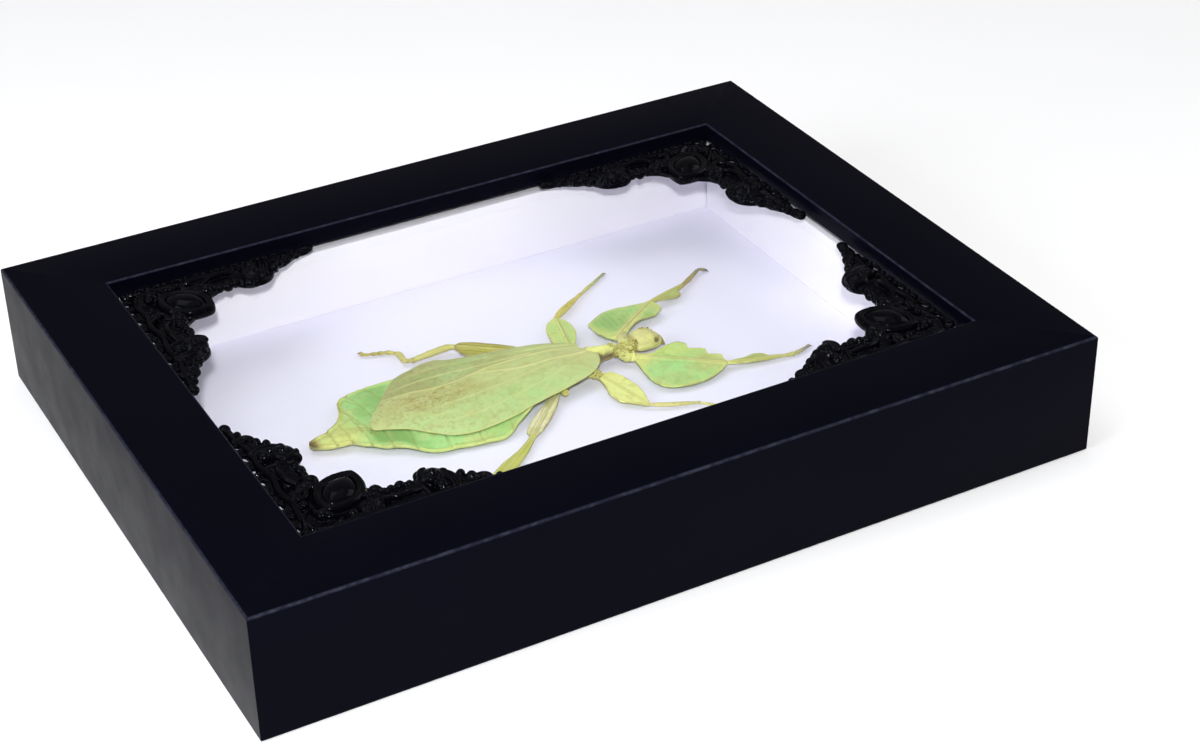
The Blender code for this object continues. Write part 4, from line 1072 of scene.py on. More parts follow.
def build_trunk():
    parts = []
    meta = trunk_loft([(1.6, 4.0, 7.2, 10.0), (5.0, 4.9, 7.0, 10.3), (10.0, 4.6, 7.0, 10.3),
                       (14.0, 4.4, 7.1, 10.3), (17.2, 3.7, 7.4, 10.2)], AXIS_Y, 50, 56, seed=2)
    tone = np.repeat(STRAW[None], len(meta.v), 0)
    tone = blend(tone, OLIVE, 0.5 * smooth(noise(meta.v, 1.6, 4, 2), -0.1, 0.5))
    parts.append(meta.paint(tone=tone))

    meso = trunk_loft([(13.6, 3.0, 7.6, 10.4), (15.4, 3.4, 7.5, 11.2), (17.4, 3.2, 7.3, 11.6), (19.2, 2.4, 7.2, 11.75),
                       (21.0, 1.65, 7.2, 11.7), (23.0, 1.35, 7.3, 11.4), (24.8, 1.5, 7.7, 11.0)], AXIS_Y + 0.45, 70, 64,
                      seed=7, ridge=0.16, bumps=0.07)
    v = meso.v
    drop = smooth(AXIS_Y + 0.35 - v[:, 1], 0.9, 1.6)
    v[:, 2] -= 0.5 * drop * smooth(v[:, 2], 9.6, 10.6) * smooth(v[:, 0], 18.0, 20.0)
    tone = np.repeat(lerp(BRIGHT, YELLOW, 0.45)[None], len(v), 0)
    tone = blend(tone, PALE, 0.5 * smooth(noise(v, 1.2, 9, 2), 0.0, 0.6))
    side = np.abs(v[:, 1] - AXIS_Y)
    away = AXIS_Y + 0.35 - v[:, 1] + 0.5 * noise(v, 1.1, 49, 2)
    # Painted shade: the low near flank under the ridge goes brown-grey with dark blotches, partly brown of its own.
    flank_shade_and_brown = np.maximum(1 - smooth(v[:, 2] + 0.35 * noise(v, 0.8, 49), 9.6, 10.6), smooth(away, 1.2, 1.8))
    flank_shade_and_brown *= smooth(v[:, 0], 17.8, 19.6)
    tone = blend(tone, seen(140, 132, 98), 0.95 * flank_shade_and_brown)
    tone = blend(tone, seen(100, 86, 66), 0.75 * flank_shade_and_brown * smooth(noise(v, 1.1, 52, 3), -0.3, 0.2))
    # Painted shade: darker towards the bottom.
    tone = blend(tone, seen(104, 92, 66), 0.75 * (1 - smooth(v[:, 2], 8.8, 9.7)))
    tone = blend(tone, seen(196, 176, 100), 0.8 * np.exp(-((v[:, 2] - 8.1) / 0.4) ** 2) * (v[:, 1] < AXIS_Y))
    tone = blend(tone, MUSTARD, 0.5 * np.exp(-((v[:, 0] - 24.2) / 0.5) ** 2))
    tone = blend(tone, STRAW, 0.4 * smooth(side, 1.6, 2.6))
    parts.append(meso.paint(tone=tone))

    pro = trunk_loft([(24.2, 1.4, 7.9, 10.6), (25.4, 1.7, 7.8, 10.8), (27.6, 1.9, 7.7, 10.8), (29.2, 1.8, 7.9, 10.8),
                      (30.5, 1.6, 8.2, 10.6)], AXIS_Y - 0.3, 54, 60, seed=12, bumps=0.12, grain=0.1)
    v = pro.v
    saddle = np.exp(-((v[:, 1] - AXIS_Y) / 0.3) ** 2) * (v[:, 2] > 10)
    v[:, 2] -= 0.16 * saddle
    v[:, 2] -= 0.2 * np.exp(-((v[:, 0] - 27.1) / 0.35) ** 2) * (v[:, 2] > 10.0)
    tone = np.repeat(STRAW[None], len(v), 0)
    tone = blend(tone, BRIGHT, 0.55 * smooth(noise(v, 1.0, 40, 2), -0.1, 0.5))
    tone = blend(tone, MUSTARD, 0.45 * smooth(noise(v, 0.7, 43, 2), 0.15, 0.6))
    # Painted shade: darker towards the bottom, over some brown.
    tone = blend(tone, BROWN, 0.6 * (1 - smooth(v[:, 2], 8.0, 9.4)))
    tone = blend(tone, seen(150, 142, 66), 0.8 * smooth(noise(v, 0.6, 47, 2), -0.1, 0.3))
    tone = blend(tone, seen(118, 102, 56), 0.8 * smooth(noise(v, 0.45, 48, 2), 0.15, 0.45))
    # Painted shade: the lowest band darker still.
    tone = blend(tone, seen(112, 98, 58), 0.8 * (1 - smooth(v[:, 2] + 0.3 * noise(v, 0.8, 57), 8.7, 9.4)))
    tone = blend(tone, BROWN, 0.5 * saddle)
    parts.append(pro.paint(tone=tone))
    return parts


# X, half width, bottom, top of the head, from the neck to the brow.
HEAD_ROWS = [(29.9, 1.7, 8.6, 10.9), (30.3, 2.5, 8.2, 11.4), (31.0, 3.05, 7.9, 11.9), (32.6, 3.45, 7.6, 12.3),
             (34.6, 3.5, 7.5, 12.3), (36.2, 3.25, 7.5, 11.75), (37.2, 2.7, 7.7, 11.0), (37.9, 1.9, 8.0, 10.4),
             (38.25, 0.9, 8.6, 9.7)]
EYE = (35.75, 3.05, 10.75)      # X, out from the head's midline, Z
EYE_R = (0.7, 0.48, 0.56)


def build_head():
    count, sides = ((110, 128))
    rows = np.array(HEAD_ROWS)
    u = np.linspace(0, 1, count)
    xs = rows[0, 0] + (rows[-1, 0] - rows[0, 0]) * (0.5 - 0.5 * np.cos(np.pi * u)) ** 0.9
    w, lo, hi = (Line(list(zip(rows[:, 0], rows[:, k])))(xs) for k in (1, 2, 3))
    a = 2 * np.pi * np.arange(sides) / sides
    c, s = np.cos(a), np.sin(a)
    p = 2.55
    Y = HEAD_Y + w[:, None] * np.sign(c) * np.abs(c) ** (2 / p)
    Z = ((lo + hi) / 2)[:, None] + ((hi - lo) / 2)[:, None] * np.sign(s) * np.abs(s) ** (2 / p)
    X = np.repeat(xs[:, None], sides, 1)
    rings = np.stack([X, Y, Z], -1)
    v = rings.reshape(-1, 3)
    mid = np.stack([v[:, 0], np.full(len(v), HEAD_Y), np.repeat((lo + hi) / 2, sides)], 1)
    d = v - mid
    d /= np.maximum(np.linalg.norm(d, axis=1, keepdims=True), 1e-6)
    yy = v[:, 1] - HEAD_Y
    topness = smooth(v[:, 2], 10.0, 11.6)
    push = 0.05 * noise(v, 0.9, 3, 3) + 0.035 * noise(v, 0.35, 11, 2)
    # Fine wrinkles that run from the neck to the brow.
    push += 0.036 * topness * np.sin(yy * 6.4 + 0.9 * noise(v, 2.2, 18)) * smooth(v[:, 0], 30.5, 31.5)
    push -= 0.13 * topness * np.exp(-(yy / 0.22) ** 2) * smooth(v[:, 0], 31.0, 32.5)
    # Brow ridges in from each eye, a cross groove before the mouth and cheeks.
    for sign in (1, -1):
        ex, ey, ez = EYE[0], sign * EYE[1], EYE[2]
        r = np.sqrt(((v[:, 0] - ex) / 1.25) ** 2 + ((yy - ey) / 1.0) ** 2 + ((v[:, 2] - ez) / 1.15) ** 2)
        push += 0.2 * np.exp(-((r - 0.85) / 0.24) ** 2)
        push -= 0.3 * np.exp(-(r / 0.55) ** 2)
        push += 0.14 * np.exp(-(((v[:, 0] - 33.4) / 1.6) ** 2 + ((yy - sign * 2.2) / 0.7) ** 2)) * topness
    push -= 0.2 * np.exp(-((v[:, 0] - 37.25) / 0.22) ** 2) * smooth(v[:, 2], 8.8, 9.8)
    push += 0.16 * np.exp(-((v[:, 0] - 30.7) / 0.35) ** 2) * topness
    v = v + d * push[:, None]
    verts, faces = tube_skin(v.reshape(count, sides, 3))
    yy = verts[:, 1] - HEAD_Y
    tone = np.repeat(seen(208, 208, 146)[None], len(verts), 0)
    tone = blend(tone, seen(222, 222, 158), 0.5 * smooth(noise(verts, 1.8, 61, 2), -0.1, 0.5))
    wr = np.sin(yy * 6.4 + 0.9 * noise(verts, 2.2, 18))
    tone = blend(tone, BROWN, 0.1 * smooth(-wr, 0.2, 0.9) * smooth(verts[:, 2], 10.0, 11.4))
    tone = blend(tone, lerp(STRAW, BROWN, 0.4), 0.4 * smooth(noise(verts, 0.8, 66, 3), 0.05, 0.45))
    # Painted light: the near lower side is lightened to make up for the shade it gets.
    tone = blend(tone, seen(250, 250, 180), 0.85 * (1 - smooth(verts[:, 2], 9.6, 10.8)) * smooth(-yy, 1.2, 2.4))
    tone = blend(tone, BROWN, 0.35 * (1 - smooth(verts[:, 2], 7.5, 8.1)))
    tone = blend(tone, YELLOW, 0.7 * np.exp(-((verts[:, 2] - 9.4) / 0.5) ** 2) * smooth(np.abs(yy), 2.4, 3.2))
    tone = blend(tone, BROWN, 0.6 * smooth(verts[:, 0], 36.8, 38.0))
    tone = blend(tone, BROWN, 0.7 * (1 - smooth(verts[:, 0], 30.1, 30.9)))
    for sign in (1, -1):
        r = np.sqrt(((verts[:, 0] - EYE[0]) / 1.25) ** 2 + ((yy - sign * EYE[1]) / 1.0) ** 2
                    + ((verts[:, 2] - EYE[2]) / 1.15) ** 2)
        tone = blend(tone, BROWN, 0.7 * np.exp(-(r / 0.95) ** 4))
        tone = blend(tone, MUSTARD, 0.35 * np.exp(-((r - 1.25) / 0.3) ** 2))
    crown = np.exp(-((verts[:, 0] - 34.8) / 1.7) ** 2) * smooth(yy, 0.4, 1.7) * smooth(verts[:, 2], 9.6, 10.8)
    tone = blend(tone, seen(164, 152, 84), 0.8 * crown * smooth(noise(verts, 0.8, 71, 2), -0.45, 0.15))
    out = [Piece(verts, faces, tone=tone)]
    # Shield and lip over the jaws.
    for x, r, z, h, col in ((38.15, 1.35, 9.2, 0.9, STRAW), (38.7, 1.0, 8.6, 0.6, lerp(STRAW, GREY, 0.6))):
        p = ball((x, HEAD_Y, z), (0.6, r, h), u=24, v=14)
        out.append(p.paint(tone=blend(np.repeat(col[None], len(p.v), 0), BROWN,
                                      0.5 * smooth(noise(p.v, 0.5, 5), 0, 0.5))))
    for sign in (1, -1):
        p = ball((38.0, HEAD_Y + sign * 1.25, 8.45), (0.85, 0.55, 0.75), turn=-sign * 28, u=16, v=10)
        out.append(p.paint(tone=blend(np.repeat(MUSTARD[None], len(p.v), 0), DARK, smooth(p.v[:, 0], 38.0, 38.8))))
        # Feelers of the jaws.
        q = limb([(37.6, HEAD_Y + sign * 1.7, 8.4), (38.2, HEAD_Y + sign * 2.0, 8.3), (38.8, HEAD_Y + sign * 1.8, 8.0),
                  (39.0, HEAD_Y + sign * 1.3, 7.7)],
                 [(0, 0.24), (0.22, 0.27), (0.3, 0.2), (0.5, 0.28), (0.62, 0.2), (0.85, 0.3), (1, 0.14)],
                 sides=12, count=36)
        out.append(q.paint(tone=blend(np.repeat(MUSTARD[None], len(q.v), 0), DARK,
                                      0.35 + 0.4 * q.values["share"])))
    return out


def blade(start, end, left, right, rib=0.75, edge=0.2, tilt=0.0, droop=0.0, colours=(MINT, PALE, YELLOW),
          teeth_left=None, teeth_right=None, seed=0, veins=2.1, wave=0.18, line=BROWN, streaks=0.0,
          patches=()):
    """A leaf-like limb length: a stout rib between two thin lobes.

    left and right are (distance along, width) lists, as seen along the rib.
    """
    n, m = ((120, 49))
    a, b = np.array(start, float), np.array(end, float)
    length = np.linalg.norm(b - a)
    d = (b - a) / length
    side = np.cross([0, 0, 1.0], d)
    side /= np.linalg.norm(side)
    s = np.linspace(0, length, n)
    wl, wr = np.maximum(Line(left)(s), 0.3), np.maximum(Line(right)(s), 0.3)
    for w, teeth in ((wl, teeth_left), (wr, teeth_right)):
        if teeth:
            s0, s1, pitch, size = teeth
            saw = ((s - s0) / pitch) % 1.0
            w += size * np.where((s > s0) & (s < s1), np.where(saw < 0.75, saw / 0.75, (1 - saw) / 0.25) - 0.5, 0)
    t = np.linspace(-1, 1, m)
    t = np.sign(t) * np.abs(t) ** 1.15
    W = np.where(t > 0, wl[:, None] * t, wr[:, None] * t)          # signed distance from the rib
    full = np.where(t > 0, wl[:, None], wr[:, None])
    S = np.repeat(s[:, None], m, 1)
    k = rib * (0.72 + 0.28 * np.sin(np.pi * np.minimum(1, s / length + 0.12)))
    taper = np.minimum(1, np.minimum(s, length - s) / 0.8 + 0.4)
    core = np.exp(-(W / (0.42 + 0.35 * k[:, None])) ** 2)
    half = edge + (k[:, None] * taper[:, None] - edge) * core
    lift = tilt * W - droop * (W / 8.0) ** 2
    P = a[None, None] + d * S[..., None] + side * W[..., None]
    flat = P.reshape(-1, 3)
    margin = full - np.abs(W)
    ripple = wave * noise(flat, 3.4, seed, 2).reshape(S.shape) * smooth(np.abs(W), 0.8, 2.4)
    # Side veins leave the rib at a slant.
    slant = (S - 0.75 * np.abs(W)) / veins
    near = np.abs(slant - np.round(slant)) * veins
    vein = np.exp(-(near / 0.16) ** 2) * smooth(np.abs(W), 0.5, 1.0) * (1 - smooth(margin, 0.6, 0.2) * 0)
    vein *= smooth(margin, 0.3, 0.9)
    top_h = half + 0.05 * vein + 0.035 * noise(flat, 0.8, seed + 3, 2).reshape(S.shape)
    top_h += 0.05 * np.exp(-((margin - 0.2) / 0.18) ** 2)
    groove = 0.1 * np.exp(-((np.abs(W) - 0.55 * k[:, None]) / 0.16) ** 2)
    top_h -= groove * (half > 0.35)
    top = P.copy()
    top[..., 2] += lift + ripple + top_h
    low = P.copy()
    low[..., 2] += lift + ripple - half * 0.85
    # Numbers along the sheet for the tones.
    if np.cross(d, side)[2] < 0:
        top, low = top[::-1], low[::-1]
    verts, faces = sheet(top, low)
    main, second, rim_colour = colours
    share, w1, mg = (S / length).ravel(), W.ravel(), margin.ravel()
    tone = np.repeat(main[None], len(w1), 0)
    tone = blend(tone, second, 0.8 * smooth(noise(flat, 3.6, seed + 9, 3), -0.2, 0.35))
    if main is MINT:
        tone = blend(tone, DEEP, 0.55 * smooth(noise(flat, 3.0, seed + 13, 3), 0.05, 0.5))
    s1 = S.ravel()
    for ps, pw, rs, rw, colour, weight in patches:
        soft = np.exp(-(((s1 - ps) / rs) ** 2 + ((w1 - pw) / rw) ** 2) ** 1.5)
        tone = blend(tone, colour, weight * soft * (0.8 + 0.2 * noise(flat, 1.6, seed + 37, 2)))
    tone = blend(tone, rim_colour, 0.7 * (1 - smooth(share, 0.02, 0.24)))
    tone = blend(tone, rim_colour, 0.55 * smooth(share, 0.8, 1.0))
    tone = blend(tone, rim_colour, 0.55 * (1 - smooth(mg, 0.2, 1.3)))
    tone = blend(tone, BROWN, 0.55 * (1 - smooth(mg, 0.02, 0.26)) * smooth(noise(flat, 1.6, seed + 5), -0.4, 0.2))
    on_rib = core.ravel()
    tone = blend(tone, lerp(STRAW, YELLOW, 0.5), 0.6 * on_rib)
    tone = blend(tone, line, 0.6 * np.exp(-((w1 + 0.3) / 0.14) ** 2) * smooth(share, 0.05, 0.2))
    tone = blend(tone, line, 0.3 * np.exp(-((w1 - 0.55) / 0.12) ** 2) * smooth(share, 0.05, 0.2))
    if streaks:
        # Long stripes beside the rib.
        comb = np.sin(w1 * 4.6 + 0.8 * noise(flat, 3.0, seed + 17))
        tone = blend(tone, BROWN, streaks * smooth(comb, 0.55, 0.95))
        tone = blend(tone, lerp(second, BRIGHT, 0.4), 0.6 * streaks * smooth(-comb, 0.6, 0.95))
    tone = blend(tone, rim_colour, 0.35 * vein.ravel())
    tone = blend(tone, OLIVE, 0.35 * smooth(noise(flat, 1.5, seed + 29, 2), 0.15, 0.55))
    tone = blend(tone, BROWN, 0.6 * smooth(noise(flat, 0.5, seed + 23), 0.76, 0.88))
    thin = np.exp(-(noise(flat, 2.2, seed + 31, 2) / 0.035) ** 2)
    tone = blend(tone, BROWN, 0.14 * thin)
    under = blend(tone, PALE, np.full(len(tone), 0.4)) * 0.92
    if np.cross(d, side)[2] < 0:
        shape = (n, m, 3)
        tone = tone.reshape(shape)[::-1].reshape(-1, 3)
        under = under.reshape(shape)[::-1].reshape(-1, 3)
    return Piece(verts, faces, tone=np.vstack([tone, under]))


def limb_tone(p, base, tip, seed, dark_ends=0.5):
    s = p.values["share"]
    tone = np.repeat(base[None], len(p.v), 0)
    tone = blend(tone, tip, smooth(s, 0.45, 1.0))
    tone = blend(tone, OLIVE, 0.5 * smooth(noise(p.v, 1.4, seed, 2), 0.0, 0.5))
    tone = blend(tone, BROWN, 0.55 * smooth(noise(p.v, 0.7, seed + 4, 2), 0.25, 0.6))
    tone = blend(tone, BROWN, dark_ends * np.exp(-((s - 1.0) / 0.03) ** 2))
    tone = blend(tone, DARK, dark_ends * np.exp(-(s / 0.03) ** 2))
    return p.paint(tone=tone)


def tarsus(points, radii, seed, base=STRAW, tip=GREY):
    """Five short joints, each wider at its far end."""
    ends = (0.0, 0.42, 0.58, 0.7, 0.8, 1.0)
    profile = []
    r = Line(radii)
    for a, b in zip(ends, ends[1:]):
        profile += [(a + 0.004, float(r(a)) * 0.72), (a + (b - a) * 0.6, float(r((a + b) / 2)) * 0.95),
                    (b - 0.012, float(r(b)) * 1.18)]
    p = limb(points, profile, sides=16, count=90, flat=0.85, bumps=0.05, seed=seed)
    s = p.values["share"]
    tone = np.repeat(base[None], len(p.v), 0)
    tone = blend(tone, tip, smooth(s, 0.35, 0.85))
    for e in ends[1:-1]:
        tone = blend(tone, DARK, 0.5 * np.exp(-((s - e) / 0.012) ** 2))
    tone = blend(tone, BROWN, 0.4 * smooth(noise(p.v, 0.6, seed), 0.1, 0.6))
    return p.paint(tone=tone)


def claws(tip, before, size=0.9):
    """A pair of hooks and the pad between them."""
    tip, before = np.array(tip, float), np.array(before, float)
    d = (tip - before) / np.linalg.norm(tip - before)
    side = np.cross([0, 0, 1.0], d)
    side /= np.linalg.norm(side)
    out = []
    for sign in (1, -1):
        pts = [tip - d * 0.15, tip + d * size * 0.5 + side * sign * size * 0.42,
               tip + d * size * 0.95 + side * sign * size * 0.5 - np.array([0, 0, 0.16]),
               tip + d * size * 1.15 + side * sign * size * 0.3 - np.array([0, 0, 0.34])]
        out.append(limb(pts, [(0, 0.17), (0.5, 0.13), (1, 0.04)], sides=10, count=22))
    out.append(ball(tip + d * size * 0.35, (0.32, 0.26, 0.14), turn=math.degrees(math.atan2(d[1], d[0])), u=14, v=8))
    return out


def build_legs():
    parts, hooks = [], []
    leaf_fore = (MINT, lerp(MINT, PALE, 0.6), YELLOW)
    leaf_mid = (seen(226, 234, 158), seen(218, 230, 156), seen(226, 226, 146))
    # Fore legs.
    parts.append(blade((27.6, 7.8, 9.2), (46.0, 20.9, 8.6),
                       [(0, 2.6), (0.7, 4.9), (2.4, 7.8), (3.7, 9.5), (7.0, 9.4), (11.0, 8.8), (13.9, 7.4),
                        (15.7, 6.1), (17.4, 4.4), (19.7, 2.5), (21.5, 1.0), (22.58, 0.5)],
                       [(0, 1.4), (2.6, 1.9), (6.4, 1.4), (9.9, 1.2), (12.7, 1.8), (14.5, 2.9), (16.8, 4.3),
                        (20.1, 4.2), (21.7, 3.0), (22.58, 0.9)],
                       tilt=0.02, colours=leaf_fore, seed=101, teeth_right=(13.5, 21.0, 1.9, 0.35),
                       patches=((9.0, 6.0, 6.0, 4.0, seen(156, 196, 130), 0.75),
                                (5.0, 5.5, 5.0, 4.0, seen(140, 178, 112), 0.8),
                                (10.0, 2.6, 5.0, 1.2, seen(146, 172, 108), 0.6),
                                (7.5, -0.5, 10.0, 1.25, seen(216, 216, 154), 0.95),
                                (16.0, 0.6, 6.0, 0.9, seen(206, 204, 140), 0.8),
                                (19.5, -2.6, 3.0, 2.6, seen(184, 200, 136), 0.8)),
                       rib=0.95, line=seen(168, 150, 104)))
    parts.append(limb_tone(limb([(26.7, 1.3, 10.0), (27.6, 3.0, 10.3), (28.5, 4.8, 10.2), (29.5, 7.0, 9.8), (31.4, 9.8, 9.15)],
                                [(0, 1.0), (0.25, 1.45), (0.6, 1.5), (0.85, 1.1), (1, 0.7)], count=60, flat=0.6,
                                bumps=0.05, seed=3), seen(212, 212, 152), seen(208, 210, 146), 5, 0.1))
    parts.append(blade((45.7, 20.8, 8.5), (58.7, 25.45, 7.8),
                       [(0, 0.55), (6.0, 0.8), (13.81, 0.55)],
                       [(0, 0.55), (2.1, 1.0), (5.8, 2.7), (8.1, 3.5), (9.8, 2.7), (10.4, 1.3), (12.2, 1.0), (13.81, 0.7)],
                       rib=0.5, edge=0.18, colours=(OLIVE, lerp(OLIVE, PALE, 0.5), lerp(MUSTARD, BROWN, 0.4)), seed=111,
                       teeth_right=(2.5, 8.6, 1.3, 0.3)))
    t = [(58.5, 25.4, 7.75), (62.0, 27.8, 7.4), (65.0, 30.0, 7.2), (67.4, 31.4, 7.3), (69.0, 30.9, 6.95)]
    parts.append(tarsus(t, [(0, 0.75), (0.5, 0.62), (1, 0.46)], 6, lerp(STRAW, BROWN, 0.75), lerp(GREY, DARK, 0.3)))
    hooks += claws(t[-1], t[-2])

    parts.append(blade((28.4, -1.5, 8.65), (48.2, -15.5, 8.0),
                       [(0, 1.0), (4.0, 1.9), (6.0, 4.2), (8.0, 6.6), (10.6, 8.3), (12.4, 8.0), (12.9, 7.4),
                        (13.3, 6.0), (14.0, 5.6), (16.4, 5.9), (17.9, 5.8), (18.3, 4.9), (18.6, 3.7), (19.4, 3.4),
                        (21.2, 3.6), (22.4, 3.5), (22.8, 2.6), (23.1, 1.7), (24.25, 0.5)],
                       [(0, 1.4), (0.9, 3.0), (2.0, 4.9), (3.6, 7.6), (6.2, 10.9), (9.6, 12.5), (14.0, 11.7),
                        (18.9, 8.6), (22.4, 4.6), (23.6, 2.0), (24.25, 0.5)],
                       tilt=0.03, droop=0.1, colours=(MINT, PALE, YELLOW), seed=121,
                       patches=((10.0, 4.5, 7.0, 3.6, seen(208, 226, 136), 0.85),
                                (8.0, -6.0, 6.0, 5.0, seen(172, 222, 152), 0.7),
                                (13.0, -9.5, 6.0, 3.0, seen(174, 200, 136), 0.7),
                                (19.5, 0.0, 5.0, 5.0, seen(188, 194, 128), 0.8),
                                (2.0, -1.0, 3.5, 3.5, seen(222, 223, 148), 0.85)),
                       teeth_left=(13.4, 22.8, 1.15, 0.22), line=seen(168, 150, 104)))
    parts.append(limb_tone(limb([(25.2, 0.5, 9.2), (26.2, -0.9, 8.95), (27.6, -1.5, 8.8), (29.2, -2.0, 8.6)],
                                [(0, 0.9), (0.35, 1.3), (0.6, 1.1), (0.75, 1.35), (1, 0.9)], count=44, bumps=0.22,
                                seed=8), YELLOW, BRIGHT, 15))
    parts.append(blade((48.0, -15.45, 7.95), (62.5, -18.6, 7.3),
                       [(0, 0.55), (1.8, 0.9), (5.2, 1.6), (8.7, 2.8), (10.6, 2.2), (12.1, 0.8), (14.85, 0.6)],
                       [(0, 0.55), (4.0, 1.0), (10.0, 1.0), (14.85, 0.6)],
                       rib=0.5, edge=0.18, colours=(lerp(PALE, OLIVE, 0.5), OLIVE, YELLOW), seed=131))
    t = [(62.4, -18.6, 7.25), (66.0, -18.9, 7.0), (69.2, -18.4, 7.0), (71.7, -17.5, 6.95)]
    parts.append(tarsus(t, [(0, 0.6), (0.5, 0.58), (1, 0.44)], 16, lerp(STRAW, OLIVE, 0.4), GREY))
    hooks += claws(t[-1], t[-2])

    # Middle legs.
    parts.append(blade((15.4, 8.6, 8.6), (20.2, 26.9, 8.2),
                       [(0, 0.8), (3.0, 2.4), (7.6, 3.9), (12.2, 4.0), (16.0, 3.0), (18.92, 0.5)],
                       [(0, 0.8), (3.0, 1.3), (6.6, 2.7), (11.0, 3.5), (14.6, 3.1), (18.92, 0.5)],
                       rib=0.65, colours=(lerp(PALE, MINT, 0.4), lerp(YELLOW, MINT, 0.4), YELLOW), seed=141,
                       teeth_left=(4, 17, 1.5, 0.22)))
    parts.append(limb_tone(limb([(14.7, 6.2, 8.9), (14.9, 7.4, 8.8), (15.1, 8.4, 8.7), (15.6, 9.8, 8.6)],
                                [(0, 0.8), (0.45, 1.1), (0.7, 0.85), (1, 0.65)], count=36, bumps=0.14, seed=21),
                           STRAW, YELLOW, 25))
    parts.append(limb_tone(limb([(20.05, 26.5, 8.2), (22.4, 28.7, 8.0), (26.5, 31.7, 7.75), (32.6, 36.0, 7.3)],
                                [(0, 0.6), (0.3, 1.05), (0.6, 0.95), (0.9, 0.6), (1, 0.62)], flat=0.7, bumps=0.1,
                                seed=22), seen(206, 198, 112), seen(206, 196, 118), 27, 0.5))
    t = [(32.4, 35.9, 7.25), (36.6, 38.8, 7.0), (40.4, 41.2, 6.9), (43.8, 43.4, 6.85)]
    parts.append(tarsus(t, [(0, 0.56), (0.5, 0.5), (1, 0.38)], 26, lerp(STRAW, OLIVE, 0.3), lerp(GREY, OLIVE, 0.5)))
    hooks += claws(t[-1], t[-2], 0.75)

    parts.append(blade((16.3, -4.3, 8.1), (20.9, -22.0, 7.5),
                       [(0, 1.6), (1.1, 3.4), (4.8, 4.3), (8.6, 4.2), (13.2, 3.0), (16.5, 1.4), (18.3, 0.5)],
                       [(0, 0.8), (4.0, 1.9), (8.6, 4.0), (12.0, 4.2), (15.4, 2.3), (18.3, 0.5)],
                       rib=0.5, colours=leaf_mid, seed=151, teeth_left=(9, 17, 1.4, 0.12),
                       line=seen(190, 190, 120)))
    parts.append(limb_tone(limb([(14.6, -0.6, 8.9), (15.2, -2.4, 8.6), (15.9, -3.6, 8.3), (16.5, -5.2, 8.1)],
                                [(0, 1.0), (0.4, 1.55), (0.65, 1.25), (1, 0.8)], count=40, bumps=0.24, seed=31),
                           seen(226, 226, 140), seen(206, 204, 122), 35, 0.5))
    parts.append(limb_tone(limb([(20.8, -21.6, 7.5), (25.0, -23.8, 7.35), (29.2, -25.4, 7.2), (33.0, -26.9, 7.1)],
                                [(0, 0.42), (0.3, 0.72), (0.65, 0.66), (0.92, 0.44), (1, 0.5)], flat=0.7, bumps=0.08,
                                seed=32), seen(206, 202, 140), seen(196, 192, 128), 37, 0.5))
    t = [(32.8, -26.8, 7.05), (35.4, -29.2, 6.9), (37.4, -32.4, 6.85), (39.1, -35.4, 6.85)]
    parts.append(tarsus(t, [(0, 0.42), (0.5, 0.38), (1, 0.3)], 36, lerp(STRAW, YELLOW, 0.3)))
    hooks += claws(t[-1], t[-2], 0.75)

    # Hind legs.
    parts.append(blade((6.0, 14.0, 8.5), (-9.7, 26.8, 8.6),
                       [(0, 0.8), (7.1, 0.9), (10.5, 2.0), (14.0, 4.1), (17.5, 3.2), (20.26, 0.9)],
                       [(0, 1.0), (4.7, 2.2), (10.2, 2.7), (15.6, 2.7), (19.3, 2.1), (20.26, 0.9)],
                       rib=0.6, colours=(seen(168, 168, 78), seen(182, 180, 98), seen(156, 150, 94)), seed=161,
                       wave=0.1, streaks=0.5))
    parts.append(limb_tone(limb([(5.2, 6.6, 8.8), (5.5, 10.0, 8.65), (5.8, 12.6, 8.55), (5.2, 14.7, 8.5)],
                                [(0, 0.9), (0.4, 1.1), (0.7, 0.85), (1, 0.7)], count=40, bumps=0.14, seed=41),
                           STRAW, MUSTARD, 45))
    parts.append(limb_tone(limb([(-9.4, 26.6, 8.6), (-11.6, 27.7, 8.45), (-16.0, 27.9, 8.05), (-21.9, 27.6, 7.7)],
                                [(0, 0.7), (0.12, 0.95), (0.3, 1.1), (0.75, 0.95), (1, 0.8)], flat=0.75, bumps=0.12,
                                seed=42), lerp(STRAW, MUSTARD, 0.35), STRAW, 47, 0.8))
    t = [(-21.6, 27.6, 7.7), (-23.3, 28.6, 7.6), (-23.4, 30.6, 7.55), (-23.2, 32.8, 7.3), (-25.2, 35.4, 7.1),
         (-28.4, 36.8, 6.95), (-31.0, 37.8, 6.95), (-31.5, 39.0, 6.9)]
    parts.append(tarsus(t, [(0, 0.7), (0.12, 1.0), (0.3, 0.72), (0.6, 0.6), (1, 0.46)], 46,
                        lerp(STRAW, MUSTARD, 0.4), lerp(MUSTARD, BROWN, 0.35)))
    hooks += claws(t[-1], t[-2], 0.8)

